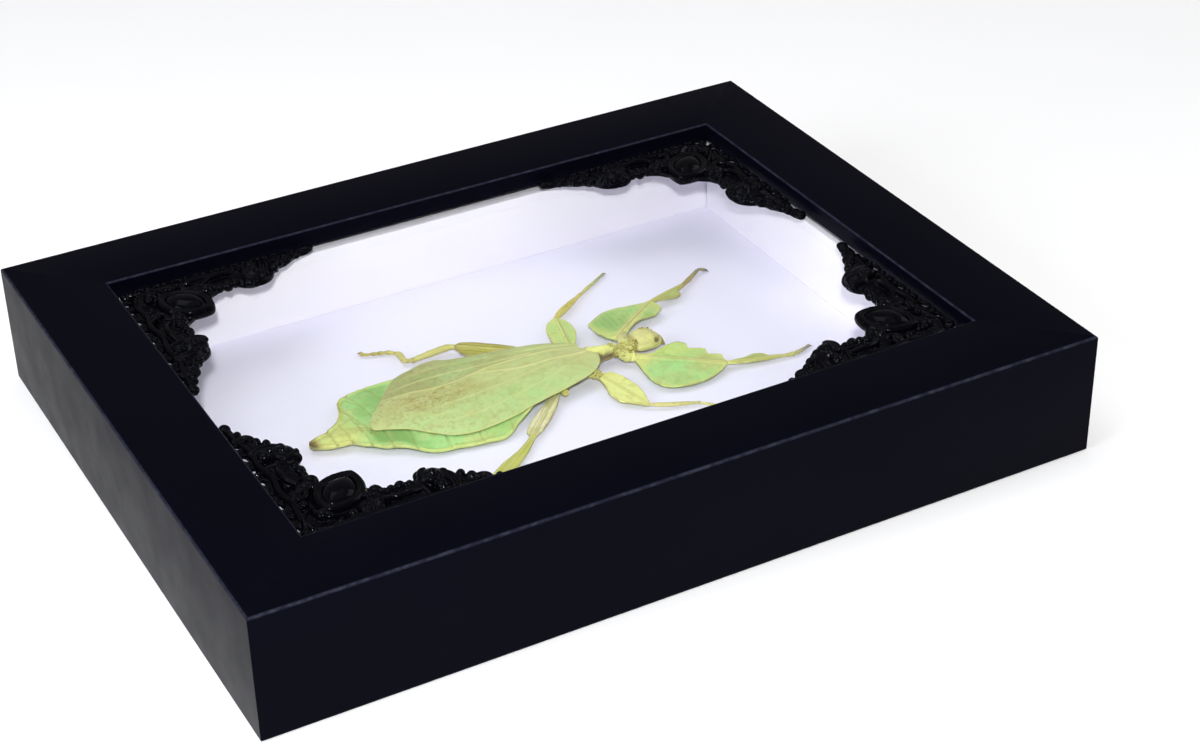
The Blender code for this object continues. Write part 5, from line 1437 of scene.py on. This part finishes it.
    parts.append(blade((4.3, -4.7, 7.95), (-11.0, -20.0, 7.5),
                       [(0, 0.7), (2.2, 1.0), (7.6, 1.8), (12.4, 2.0), (17.8, 1.6), (21.65, 0.6)],
                       [(0, 0.7), (6.3, 1.5), (11.2, 2.0), (16.6, 2.4), (20.2, 2.2), (21.65, 0.9)],
                       rib=0.6, colours=(seen(216, 216, 184), seen(236, 232, 214), seen(206, 206, 150)),
                       seed=171, wave=0.08, line=seen(128, 130, 84), streaks=0.5))
    parts.append(limb_tone(limb([(5.0, -1.0, 8.6), (4.9, -2.8, 8.4), (4.7, -3.9, 8.15), (3.8, -5.3, 7.95)],
                                [(0, 0.8), (0.45, 1.0), (0.75, 0.8), (1, 0.65)], count=36, bumps=0.16, seed=51),
                           STRAW, MUSTARD, 55))
    parts.append(limb_tone(limb([(4.9, -4.4, 8.3), (4.8, -5.8, 8.45), (4.7, -7.1, 8.5), (4.4, -8.2, 8.4)],
                                [(0, 0.8), (0.5, 0.9), (0.8, 1.0), (1, 0.5)], count=36, bumps=0.2, seed=53),
                           YELLOW, seen(214, 206, 112), 57, 0.1))
    parts.append(blade((-10.6, -19.6, 7.5), (-26.8, -32.2, 7.15),
                       [(0, 0.7), (4.1, 1.3), (8.3, 1.8), (14.5, 2.0), (18.0, 1.7), (20.52, 0.6)],
                       [(0, 0.7), (2.8, 0.5), (6.3, 0.6), (10.0, 1.2), (14.8, 2.1), (18.6, 2.3), (20.52, 1.2)],
                       rib=0.45, colours=(seen(172, 178, 88), seen(192, 198, 110), seen(196, 200, 120)), seed=181,
                       wave=0.1, line=seen(160, 160, 90), streaks=0.25))
    t = [(-26.6, -32.0, 7.1), (-28.6, -33.4, 6.95), (-30.8, -34.9, 6.9), (-32.9, -36.3, 6.85)]
    parts.append(tarsus(t, [(0, 0.55), (0.5, 0.46), (1, 0.36)], 56, lerp(YELLOW, OLIVE, 0.35)))
    hooks += claws(t[-1], t[-2], 0.8)
    return parts, hooks


def fused(parts, spots):
    """One closed skin of all the parts, with the tone of the nearest one at each point, and warts set into it."""
    meshes = [to_mesh(f"flesh_{k}", p, 1.0) for k, p in enumerate(parts)]

    def build(obj):
        helpers = []
        for k, mesh in enumerate(meshes[1:]):
            other = bpy.data.objects.new(f"flesh_helper_{k}", mesh)
            SCENE.collection.objects.link(other)
            helpers.append(other)
            m = obj.modifiers.new(f"union_{k}", "BOOLEAN")
            m.operation = "UNION"
            m.solver = "MANIFOLD"
            m.object = other
        return helpers

    made = evaluated(meshes[0], build)
    everything = join(parts)
    tree = kdtree.KDTree(len(everything.v))
    for i, p in enumerate(everything.v.tolist()):
        tree.insert(p, i)
    tree.balance()
    co = coords(made)
    nearest = np.array([tree.find(p)[1] for p in co.tolist()])
    values = {k: v[nearest] for k, v in everything.values.items() if k != "share"}
    loops = np.empty(len(made.loops), np.int32)
    made.loops.foreach_get("vertex_index", loops)
    starts = np.empty(len(made.polygons), np.int32)
    made.polygons.foreach_get("loop_start", starts)
    faces = [tuple(f) for f in np.split(loops, starts[1:])]
    bpy.data.meshes.remove(made)
    surface = BVHTree.FromPolygons([tuple(p) for p in co.tolist()], faces)
    seated = []
    for x, y, z, r, *dark in spots:
        hit = surface.ray_cast(Vector((x, y, 20.0)), Vector((0, 0, -1.0)))[0]
        if hit is not None and hit.z > 8.0:
            seated.append((x, y, hit.z + 0.05 * r, r, *dark))
    return join([Piece(co, faces, **values), *tubercles(seated)])


# ================================================================ the tegmina
VEINS_RIGHT = [
    ([(-38.4, 8.4), (-31.2, 7.9), (-26.0, 6.6), (-19.6, 6.4), (-14.6, 7.4), (-8.0, 8.3), (0.4, 8.2), (9.6, 7.2),
      (16.3, 6.6)], 0.2, 0.34),
    ([(-14.0, 7.4), (-9.0, 5.9), (-2.5, 3.6), (5.7, 3.2), (12.2, 3.1), (17.2, 3.4)], 0.2, 0.34),
    ([(-33.0, -1.5), (-22.0, -1.6), (-10.0, -0.6), (0.0, 0.9), (9.0, 2.2), (16.4, 3.1)], 0.06, 0.26),
    ([(-36.0, 3.2), (-26.0, 2.6), (-14.0, 3.0), (-4.0, 3.9)], 0.05, 0.24),
    ([(-28.5, -7.6), (-18.0, -7.4), (-6.0, -5.2), (5.0, -2.6), (15.0, 1.6)], 0.05, 0.24),
]
VEINS_LEFT = [
    ([(-36.0, 12.4), (-28.0, 13.4), (-20.0, 13.0), (-12.0, 12.0), (-4.0, 11.2), (4.0, 10.4)], 0.16, 0.3),
    ([(2.0, 12.6), (8.0, 11.2), (13.0, 9.4), (17.2, 8.0)], 0.16, 0.3),
    ([(-30.0, 17.0), (-20.0, 17.4), (-10.0, 15.4), (0.0, 13.4), (10.0, 11.2)], 0.06, 0.26),
]


def build_tegmen(name, one, two, lift, veins, painter, seed, mat, node):
    nx, ny = ((300, 100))
    x0, x1 = max(one.x[0], two.x[0]), min(one.x[-1], two.x[-1])
    s = np.linspace(0, 1, nx)
    x = x0 + (x1 - x0) * (s - 0.135 * np.sin(2 * np.pi * s))
    a, b = one(x), two(x)
    thin = b - a < 0.12
    mid = (a + b) / 2
    a, b = np.where(thin, mid - 0.06, a), np.where(thin, mid + 0.06, b)
    wobble = 0.1 * noise(np.stack([x, x * 0, x * 0], 1), 3.2, seed + 1, 2)
    a = a + wobble
    t = 0.5 - 0.5 * np.cos(np.pi * np.linspace(0, 1, ny))
    t = 0.65 * t + 0.35 * np.linspace(0, 1, ny)
    X = np.repeat(x[:, None], ny, 1)
    Y = a[:, None] + (b - a)[:, None] * t[None, :]
    T = np.repeat(t[None], nx, 0)
    S = np.repeat(s[:, None], ny, 1)
    xy = np.stack([X.ravel(), Y.ravel()], 1)
    flat = np.stack([X, Y, np.zeros_like(X)], -1).reshape(-1, 3)
    edge = np.minimum(np.minimum(Y - a[:, None], b[:, None] - Y), np.minimum(X - x0, x1 - X) * 1.2 + 0.02)
    Z = back_height(X, Y) + lift(T) * (1 - 0.72 * smooth(X, 5, 16))
    ripple = 0.16 * noise(flat * np.array([0.7, 1.2, 1]), 5.5, seed, 2).reshape(X.shape)
    ripple = ripple * smooth(edge, 0.2, 3.0) * (0.35 + 0.65 * smooth(lift(T), 0.5, 1.2))
    thick = 0.09 + 0.26 * smooth(edge, 0.02, 1.4)
    relief = np.zeros(len(xy))
    mask = np.zeros(len(xy))
    for points, height, width in veins:
        d, along = near_line(xy, points)
        fade = np.clip(np.minimum(along * 6 + 0.2, 1), 0, 1)
        relief += height * np.exp(-(d / width) ** 2) * fade
        mask = np.maximum(mask, np.exp(-(d / (width * 1.1)) ** 2) * fade * min(1.0, 0.35 + height * 4))
    # Side veins that leave the main ones at a slant, and shallow folds.
    e1 = edge.ravel()
    slant = (xy[:, 0] * 0.62 + xy[:, 1] * 0.9 * np.sign((T.ravel() - 0.55)) + 0.9 * noise(flat, 4, seed + 7, 2)) / 3.4
    near = np.abs(slant - np.round(slant)) * 3.4
    weak = smooth(noise(flat, 6, seed + 12, 2), -0.3, 0.3)
    relief += 0.035 * np.exp(-(near / 0.2) ** 2) * smooth(e1, 0.5, 2.0) * weak
    mask = np.maximum(mask, 0.25 * np.exp(-(near / 0.2) ** 2) * smooth(e1, 0.5, 2.0) * weak)
    relief += 0.05 * np.exp(-((e1 - 0.3) / 0.25) ** 2)
    relief += 0.06 * noise(flat * np.array([0.55, 1.3, 1]), 1.6, seed + 2, 3) * smooth(e1, 0.3, 1.5)
    ridged = np.exp(-(noise(flat * np.array([0.7, 1.2, 1]), 3.2, seed + 4, 2) / 0.07) ** 2)
    relief += 0.05 * ridged * smooth(e1, 0.6, 2.0)
    relief = relief.reshape(X.shape)
    top = np.stack([X, Y, Z + ripple + thick + relief], -1)
    low = np.stack([X, Y, Z + ripple], -1)
    verts, faces = sheet(top, low)
    tone = painter(xy[:, 0], xy[:, 1], e1, flat, mask) * np.array([0.95, 0.91, 0.985])
    under = blend(tone, MINT, np.full(len(tone), 0.35)) * 0.85
    return show(name, Piece(verts, faces, tone=np.vstack([tone, under]), vein=np.concatenate([mask, mask * 0.4]),
                            along=np.concatenate([S.ravel(), S.ravel()]), across=np.concatenate([T.ravel(), T.ravel()])),
                mat, (node,))


def paint_right(x, y, edge, flat, vein):
    tone = np.repeat(PALE[None], len(x), 0)
    near = smooth(-y, -3.5, 6.0)
    tone = blend(tone, seen(178, 220, 150), 0.75 * near * (0.75 + 0.25 * noise(flat, 7, 2)))
    tone = blend(tone, seen(170, 216, 142), 0.55 * np.exp(-((x + 6) / 7.0) ** 2 - ((y + 5.5) / 3.4) ** 2))
    tone = blend(tone, seen(196, 212, 142), 0.5 * smooth(noise(flat, 3.6, 91, 3), 0.0, 0.4))
    # A mottled brown field at the rear of the upper half.
    field = np.exp(-((x + 28.0) / 11.5) ** 4 - ((y - 2.8) / 4.9) ** 4)
    blot = smooth(noise(flat * np.array([0.8, 1.4, 1]), 2.4, 51, 3), -0.4, 0.35)
    tone = blend(tone, seen(182, 176, 112), 0.62 * field * (0.3 + 0.7 * blot))
    tone = blend(tone, seen(150, 134, 80), 0.6 * field * smooth(noise(flat, 0.6, 71, 2), 0.0, 0.35))
    tone = blend(tone, seen(204, 208, 146), 0.5 * smooth(noise(flat, 0.8, 72, 2), 0.1, 0.5) * (1 - near))
    tone = blend(tone, seen(158, 150, 94), 0.4 * smooth(noise(flat, 0.7, 73, 2), 0.2, 0.5) * smooth(-x, -6, 24))
    net = np.exp(-(noise(flat * np.array([0.9, 1.1, 1]), 1.3, 74, 2) / 0.07) ** 2)
    tone = blend(tone, seen(146, 128, 76), 0.6 * field * net * smooth(noise(flat, 4.0, 76), -0.5, 0.3))
    tone = blend(tone, MUSTARD, 0.4 * np.exp(-((x + 17) / 3.0) ** 2 - ((y - 1.6) / 1.6) ** 2))
    tone = blend(tone, seen(186, 192, 126), 0.5 * smooth(noise(flat, 3.4, 33, 3), 0.0, 0.4) * (1 - near))
    tone = blend(tone, OLIVE, 0.28 * smooth(noise(flat, 1.2, 36, 2), 0.1, 0.5))
    tone = blend(tone, seen(206, 214, 150), 0.6 * smooth(x, 4, 15) * (1 - 0.6 * near))
    wide = np.exp(-(noise(flat, 2.6, 38, 2) / 0.05) ** 2)
    tone = blend(tone, lerp(BROWN, OLIVE, 0.5), 0.2 * wide)
    tone = blend(tone, seen(222, 224, 158), 0.75 * vein)
    tone = blend(tone, YELLOW, 0.5 * (1 - smooth(edge, 0.1, 0.6)))
    tone = blend(tone, BROWN, 0.5 * (1 - smooth(edge, 0.0, 0.14)))
    crackle = np.exp(-(noise(flat, 0.9, 78, 2) / 0.06) ** 2) * smooth(noise(flat, 5.0, 79, 2), -0.3, 0.3)
    return blend(tone, lerp(BROWN, OLIVE, 0.5), 0.18 * crackle)


def paint_left(x, y, edge, flat, vein):
    tone = np.repeat(seen(184, 200, 134)[None], len(x), 0)
    tone = blend(tone, OLIVE, 0.6 * smooth(noise(flat, 4.0, 15, 3), -0.2, 0.4))
    tone = blend(tone, seen(176, 214, 146), 0.8 * np.exp(-((x + 19) / 5.5) ** 2 - ((y - 11.8) / 2.4) ** 2))
    tone = blend(tone, seen(170, 206, 138), 0.6 * np.exp(-((x + 12) / 8.0) ** 2 - ((y - 16.0) / 2.0) ** 2))
    tone = blend(tone, DEEP, 0.5 * np.exp(-((x + 25) / 3.5) ** 2 - ((y - 14.5) / 1.4) ** 2))
    tone = blend(tone, DEEP, 0.3 * smooth(noise(flat, 3.0, 25, 2), 0.15, 0.6))
    tone = blend(tone, seen(158, 168, 112), 0.55 * np.exp(-((x + 29) / 7.0) ** 2 - ((y - 13.0) / 5.0) ** 2))
    tone = blend(tone, seen(160, 160, 108), 0.45 * smooth(noise(flat, 0.8, 27, 2), 0.0, 0.4) * (1 - smooth(x, -8, 6)))
    tone = blend(tone, BROWN, 0.4 * smooth(noise(flat, 1.3, 45, 3), 0.1, 0.45) * (1 - smooth(x, -26, -14)))
    net = np.exp(-(noise(flat, 1.5, 74, 2) / 0.06) ** 2)
    tone = blend(tone, BROWN, 0.35 * net * (1 - smooth(x, -26, -10)))
    tone = blend(tone, PALE, 0.6 * smooth(x, -4, 6))
    tone = blend(tone, seen(212, 216, 150), 0.7 * vein)
    tone = blend(tone, YELLOW, 0.45 * (1 - smooth(edge, 0.1, 0.7)))
    tone = blend(tone, BROWN, 0.45 * (1 - smooth(edge, 0.0, 0.14)))
    return tone


# ================================================================ insect materials
def skin_material():
    n = Nodes("dried_leaf_skin", specular=0.32)
    tone = n.attr("tone", "Color")
    fine = n.noise(0.55, 4, 0.65)
    broad = n.noise(3.2, 3, 0.6)
    grain = n.cells(0.3)
    col = n.mix(n.range(fine, 0.25, 0.78, 0.0, 0.38), tone, (1.0, 0.99, 0.86), "MULTIPLY")
    col = n.mix(n.range(broad, 0.52, 0.74, 0.0, 0.26), col, (0.62, 0.6, 0.3), "MULTIPLY")
    col = n.mix(n.range(broad, 0.44, 0.24, 0.0, 0.25), col, (0.72, 0.9, 0.5), "SOFT_LIGHT")
    speck = n.range(n.noise(0.42, 2, 0.5), 0.68, 0.76)
    col = n.mix(n.math("MULTIPLY", speck, 0.5), col, (0.2, 0.16, 0.06))
    n.set("Base Color", col)
    n.set("Roughness", n.range(fine, 0.2, 0.8, 0.42, 0.66))
    n.set("Subsurface Weight", 0.12)
    n.set("Subsurface Radius", (0.6, 0.7, 0.3))
    n.set("Subsurface Scale", 0.0008)
    height = n.math("ADD", n.math("MULTIPLY", grain, 0.5), fine)
    n.set("Normal", n.bump(height, 0.05, 0.6))
    return n.mat


def wing_material():
    n = Nodes("dried_wing_cover", specular=0.36)
    tone = n.attr("tone", "Color")
    vein = n.attr("vein")
    pair = n.new("ShaderNodeCombineXYZ")
    n.put(pair.inputs[0], n.math("MULTIPLY", n.attr("along"), 0.034))
    n.put(pair.inputs[1], n.math("MULTIPLY", n.attr("across"), 0.034))
    wing = pair.outputs[0]
    # A net of fine cross veins, and long fine lines towards the tip.
    net = n.cells(0.62, "DISTANCE_TO_EDGE", vector=n.scaled(0.62, 1.0, 1.0, source=wing))
    net_line = n.range(net, 0.0, 0.1, 1.0, 0.0)
    lines = n.noise(0.42, 2, 0.5, vector=n.scaled(0.09, 1.0, 1.0, source=wing))
    line_mask = n.range(lines, 0.5, 0.66)
    fine = n.noise(0.7, 4, 0.65)
    broad = n.noise(4.5, 3, 0.6)
    col = n.mix(n.math("MULTIPLY", net_line, 0.16), tone, (0.5, 0.56, 0.2))
    col = n.mix(n.math("MULTIPLY", line_mask, 0.07), col, (0.72, 0.76, 0.42))
    col = n.mix(n.range(broad, 0.54, 0.72, 0.0, 0.24), col, (0.78, 0.72, 0.4), "MULTIPLY")
    col = n.mix(n.range(fine, 0.3, 0.75, 0.0, 0.25), col, (0.95, 0.95, 0.75), "MULTIPLY")
    speck = n.range(n.noise(0.3, 2, 0.5), 0.7, 0.78)
    col = n.mix(n.math("MULTIPLY", speck, 0.3), col, (0.2, 0.15, 0.05))
    n.set("Base Color", col)
    n.set("Roughness", n.range(fine, 0.2, 0.8, 0.4, 0.6))
    n.set("Subsurface Weight", 0.12)
    n.set("Subsurface Radius", (0.6, 0.7, 0.3))
    n.set("Subsurface Scale", 0.0008)
    height = n.math("ADD", n.math("MULTIPLY", net_line, 0.5), n.math("MULTIPLY", line_mask, 0.25))
    height = n.math("ADD", height, n.math("MULTIPLY", fine, 0.7))
    height = n.math("ADD", height, n.math("MULTIPLY", vein, 0.8))
    n.set("Normal", n.bump(height, 0.05, 0.6))
    return n.mat


def eye_material():
    n = Nodes("dried_eye", specular=0.5)
    facets = n.cells(0.09)
    band = n.noise(0.6, 3, 0.5, vector=n.scaled(0.5, 1, 2))
    col = n.mix(band, (0.10, 0.068, 0.016), (0.21, 0.155, 0.042))
    n.set("Base Color", n.mix(n.range(facets, 0.0, 0.6, 0.35, 0.0), col, (0.05, 0.035, 0.01)))
    n.set("Roughness", n.range(band, 0.2, 0.8, 0.32, 0.48))
    n.set("Normal", n.bump(facets, 0.015, 0.5))
    return n.mat


def claw_material():
    n = Nodes("dark_claw", specular=0.45)
    tone = n.noise(0.5, 3)
    n.set("Base Color", n.mix(tone, (0.045, 0.032, 0.016), (0.12, 0.095, 0.055)))
    n.set("Roughness", n.range(tone, 0.2, 0.8, 0.3, 0.5))
    n.set("Normal", n.bump(n.noise(0.2, 3), 0.02, 0.5))
    return n.mat


def build_insect():
    skin, wing, eye, claw = skin_material(), wing_material(), eye_material(), claw_material()
    legs, hooks = build_legs()
    spots = [(18.6, AXIS_Y + 2.9, 10.9, 0.3), (17.6, AXIS_Y + 3.3, 10.9, 0.26), (16.2, 6.4, 11.0, 0.3),
             (15.9, 6.9, 10.9, 0.34), (16.6, 5.7, 11.3, 0.26), (20.4, AXIS_Y + 2.0, 11.0, 0.2),
             (23.6, AXIS_Y - 0.9, 10.7, 0.26), (23.8, AXIS_Y + 1.6, 10.6, 0.22), (24.3, AXIS_Y - 1.2, 10.5, 0.34),
             (26.4, AXIS_Y - 2.2, 10.2, 0.4), (27.7, AXIS_Y - 2.3, 10.2, 0.34), (28.7, AXIS_Y - 2.1, 10.4, 0.42),
             (28.8, AXIS_Y + 1.9, 10.5, 0.3), (29.9, AXIS_Y - 1.6, 10.6, 0.4), (29.8, AXIS_Y + 1.6, 10.5, 0.3),
             (14.9, -2.2, 9.7, 0.5), (15.7, -3.0, 9.4, 0.46), (16.3, -3.9, 9.1, 0.34), (14.3, -1.6, 9.8, 0.4),
             (4.7, -3.6, 9.1, 0.34), (5.4, -3.1, 9.2, 0.3)]
    spots += granules((24.7, AXIS_Y - 0.1, 11), (1.4, 1.3, 1), 30, (0.2, 0.42), 5)
    spots += granules((27.2, AXIS_Y - 0.7, 11), (1.7, 1.2, 1), 46, (0.14, 0.34), 26)
    spots += granules((29.3, AXIS_Y - 0.7, 11), (0.9, 1.2, 1), 22, (0.2, 0.4), 12)
    spots += granules((22.9, AXIS_Y + 0.5, 11), (1.6, 0.8, 1), 8, (0.08, 0.16), 6)
    spots += granules((26.8, -0.9, 10), (1.9, 0.9, 1), 12, (0.2, 0.4), 7)
    spots += granules((15.9, -4.1, 9), (1.0, 1.3, 1), 22, (0.2, 0.38), 9)
    spots += granules((15.2, -2.6, 9), (0.9, 1.0, 1), 12, (0.2, 0.38), 16)
    spots += granules((15.0, 7.6, 9), (0.7, 1.2, 1), 8, (0.12, 0.22), 10)
    spots += granules((17.0, AXIS_Y + 3.0, 11), (2.0, 0.7, 1), 12, (0.14, 0.26), 14)
    spots += [(34.0, HEAD_Y + 2.9, 11.4, 0.34, 0.6), (34.7, HEAD_Y + 2.8, 11.4, 0.3, 0.6), (33.4, HEAD_Y + 3.0, 11.3, 0.28, 0.5),
              (36.2, HEAD_Y + 2.4, 11.35, 0.34, 0.6), (36.8, HEAD_Y + 1.6, 11.3, 0.26, 0.5),
              (37.3, HEAD_Y - 1.4, 11.0, 0.24, 0.5), (36.9, HEAD_Y - 2.2, 10.8, 0.22, 0.4),
              (30.4, HEAD_Y - 1.6, 11, 0.4, 0.7), (30.1, HEAD_Y - 0.8, 11, 0.34, 0.8), (30.5, HEAD_Y - 2.2, 11, 0.34, 0.5),
              (4.9, -8.1, 9.1, 0.3), (4.2, -8.4, 9.1, 0.28), (5.5, -7.6, 9.1, 0.3, 1.0), (4.6, -3.9, 9.1, 0.36, 1.0), (14.7, -4.0, 9.1, 0.4, 0.8)]
    flesh = [build_abdomen(), *build_trunk(), *build_head(), *legs]
    limbs = [f"{p}_{s}_{k}" for p in ("coxa", "femur", "tibia", "tarsus") for s in ("left", "right")
             for k in ("fore", "middle", "hind")]
    show("insect_skin", fused(flesh, spots), skin,
         ["abdomen_tip", "abdomen_rear", "abdomen_middle", "abdomen_front", "metathorax", "mesothorax", "prothorax",
          "head", *limbs])
    build_tegmen("tegmen_left_cover", WING_UNDER, WING_FAR, lambda t: 0.4 + 0 * t, VEINS_LEFT, paint_left, 300, wing,
                 "tegmen_left")
    build_tegmen("tegmen_right_cover", WING_NEAR, WING_SEAM, lambda t: 0.4 + np.minimum(1.0, t * 2.4), VEINS_RIGHT,
                 paint_right, 400, wing, "tegmen_right")
    for name, sign in (("eye_left", 1), ("eye_right", -1)):
        p = ball((EYE[0], HEAD_Y + sign * (EYE[1] - 0.02), EYE[2]), EYE_R, turn=-sign * 14, u=40, v=24)
        show(f"{name}_facets", p, eye, (name,))
        # A short feeler of nine joints, laid forward over the jaws.
        y = HEAD_Y + sign * 1.5
        pts = [(37.3, y, 9.9), (37.8, y + sign * 0.1, 9.8), (38.3, y + sign * 0.2, 9.4),
               (38.6, y + sign * 0.3, 8.9), (38.7, y + sign * 0.4, 8.4)]
        radii = [(0, 0.4), (0.14, 0.42), (0.2, 0.26), (0.25, 0.32), (0.3, 0.24)]
        for k in range(6):
            a = 0.26 + 0.12 * k
            radii += [(a + 0.06, 0.24 - 0.012 * k), (a + 0.12, 0.17 - 0.012 * k)]
        radii[-1] = (1.0, 0.07)
        f = limb(pts, radii, sides=14, count=110, bumps=0.06, seed=60)
        f.values["tone"] = blend(np.repeat(lerp(STRAW, BROWN, 0.25)[None], len(f.v), 0), DARK,
                                 0.05 + 0.4 * f.values["share"])
        show(f"feeler_{name[4:]}", f, skin, (f"antenna_{name[4:]}",))
    show("claws", join(hooks), claw, ())


# ================================================================ stage
def area(name, place, aim, size, power, colour=(1, 1, 1), size_y=None):
    data = bpy.data.lights.new(name, "AREA")
    data.shape = "RECTANGLE"
    data.size, data.size_y = size, size_y or size
    data.energy = power
    data.color = colour
    obj = bpy.data.objects.new(name, data)
    SCENE.collection.objects.link(obj)
    obj.location = place
    obj.rotation_mode = "QUATERNION"
    obj.rotation_quaternion = (Vector(aim) - Vector(place)).to_track_quat("-Z", "Y")
    return obj


def build_stage():
    camera = bpy.data.objects.new("camera", bpy.data.cameras.new("camera"))
    SCENE.collection.objects.link(camera)
    camera.data.sensor_width = 36.0
    camera.data.lens = 72.35
    camera.data.clip_start, camera.data.clip_end = 0.01, 20.0
    camera.location = (-0.23218, -0.46704, 0.33711)
    camera.rotation_mode = "QUATERNION"
    camera.rotation_quaternion = Quaternion((0.84585040, 0.47139095, -0.11343145, -0.22239824))
    SCENE.camera = camera

    world = bpy.data.worlds.new("studio")
    SCENE.world = world
    world.use_nodes = True
    world.node_tree.nodes["Background"].inputs["Color"].default_value = (1.0, 1.0, 1.0, 1)
    world.node_tree.nodes["Background"].inputs["Strength"].default_value = 0.25

    n = Nodes("pale_floor", roughness=0.9, specular=0.1)
    n.set("Base Color", n.mix(n.noise(60, 2), (0.93, 0.93, 0.935), (0.95, 0.95, 0.95)))
    bm = bmesh.new()
    bmesh.ops.create_grid(bm, x_segments=8, y_segments=8, size=3.0)
    mesh = bpy.data.meshes.new("floor")
    bm.to_mesh(mesh)
    bm.free()
    mesh.materials.append(n.mat)
    floor = bpy.data.objects.new("floor", mesh)
    floor.location = (0, 0, -0.0002)
    SCENE.collection.objects.link(floor)

    area("back_softbox", (-0.3, 0.36, 1.15), (0, 0, 0), 0.8, 3.6, (1.0, 0.995, 0.985))
    area("top_softbox", (0, 0, 1.3), (0, 0, 0), 1.2, 2.0)
    area("left_softbox", (-1.1, -0.15, 0.5), (0, 0, 0.01), 0.7, 7.7, (0.88, 0.905, 1.0))
    area("right_softbox", (1.1, -0.2, 0.7), (0, 0, 0), 0.8, 4.2)
    # A small lamp just over the camera: its soft-edged shadows fall close under each shape.
    area("front_lamp", (-0.26, -0.52, 0.46), (0, 0, 0.01), 0.036, 4.3)

    SCENE.view_settings.view_transform = "Standard"
    SCENE.view_settings.look = "None"
    SCENE.view_settings.exposure = 0.0


def main():
    paint = frame_paint()
    build_rails(paint)
    build_tabs(steel_material())
    for name, mat in (("glass_pane", glass_material()), ("base_card", card_material()),
                      ("back_board", board_material())):
        node = NODES[name]
        node.data.materials.clear()
        node.data.materials.append(mat)
    build_liner(liner_material())
    build_ornaments(ornament_material())
    build_insect()
    build_stage()


main()
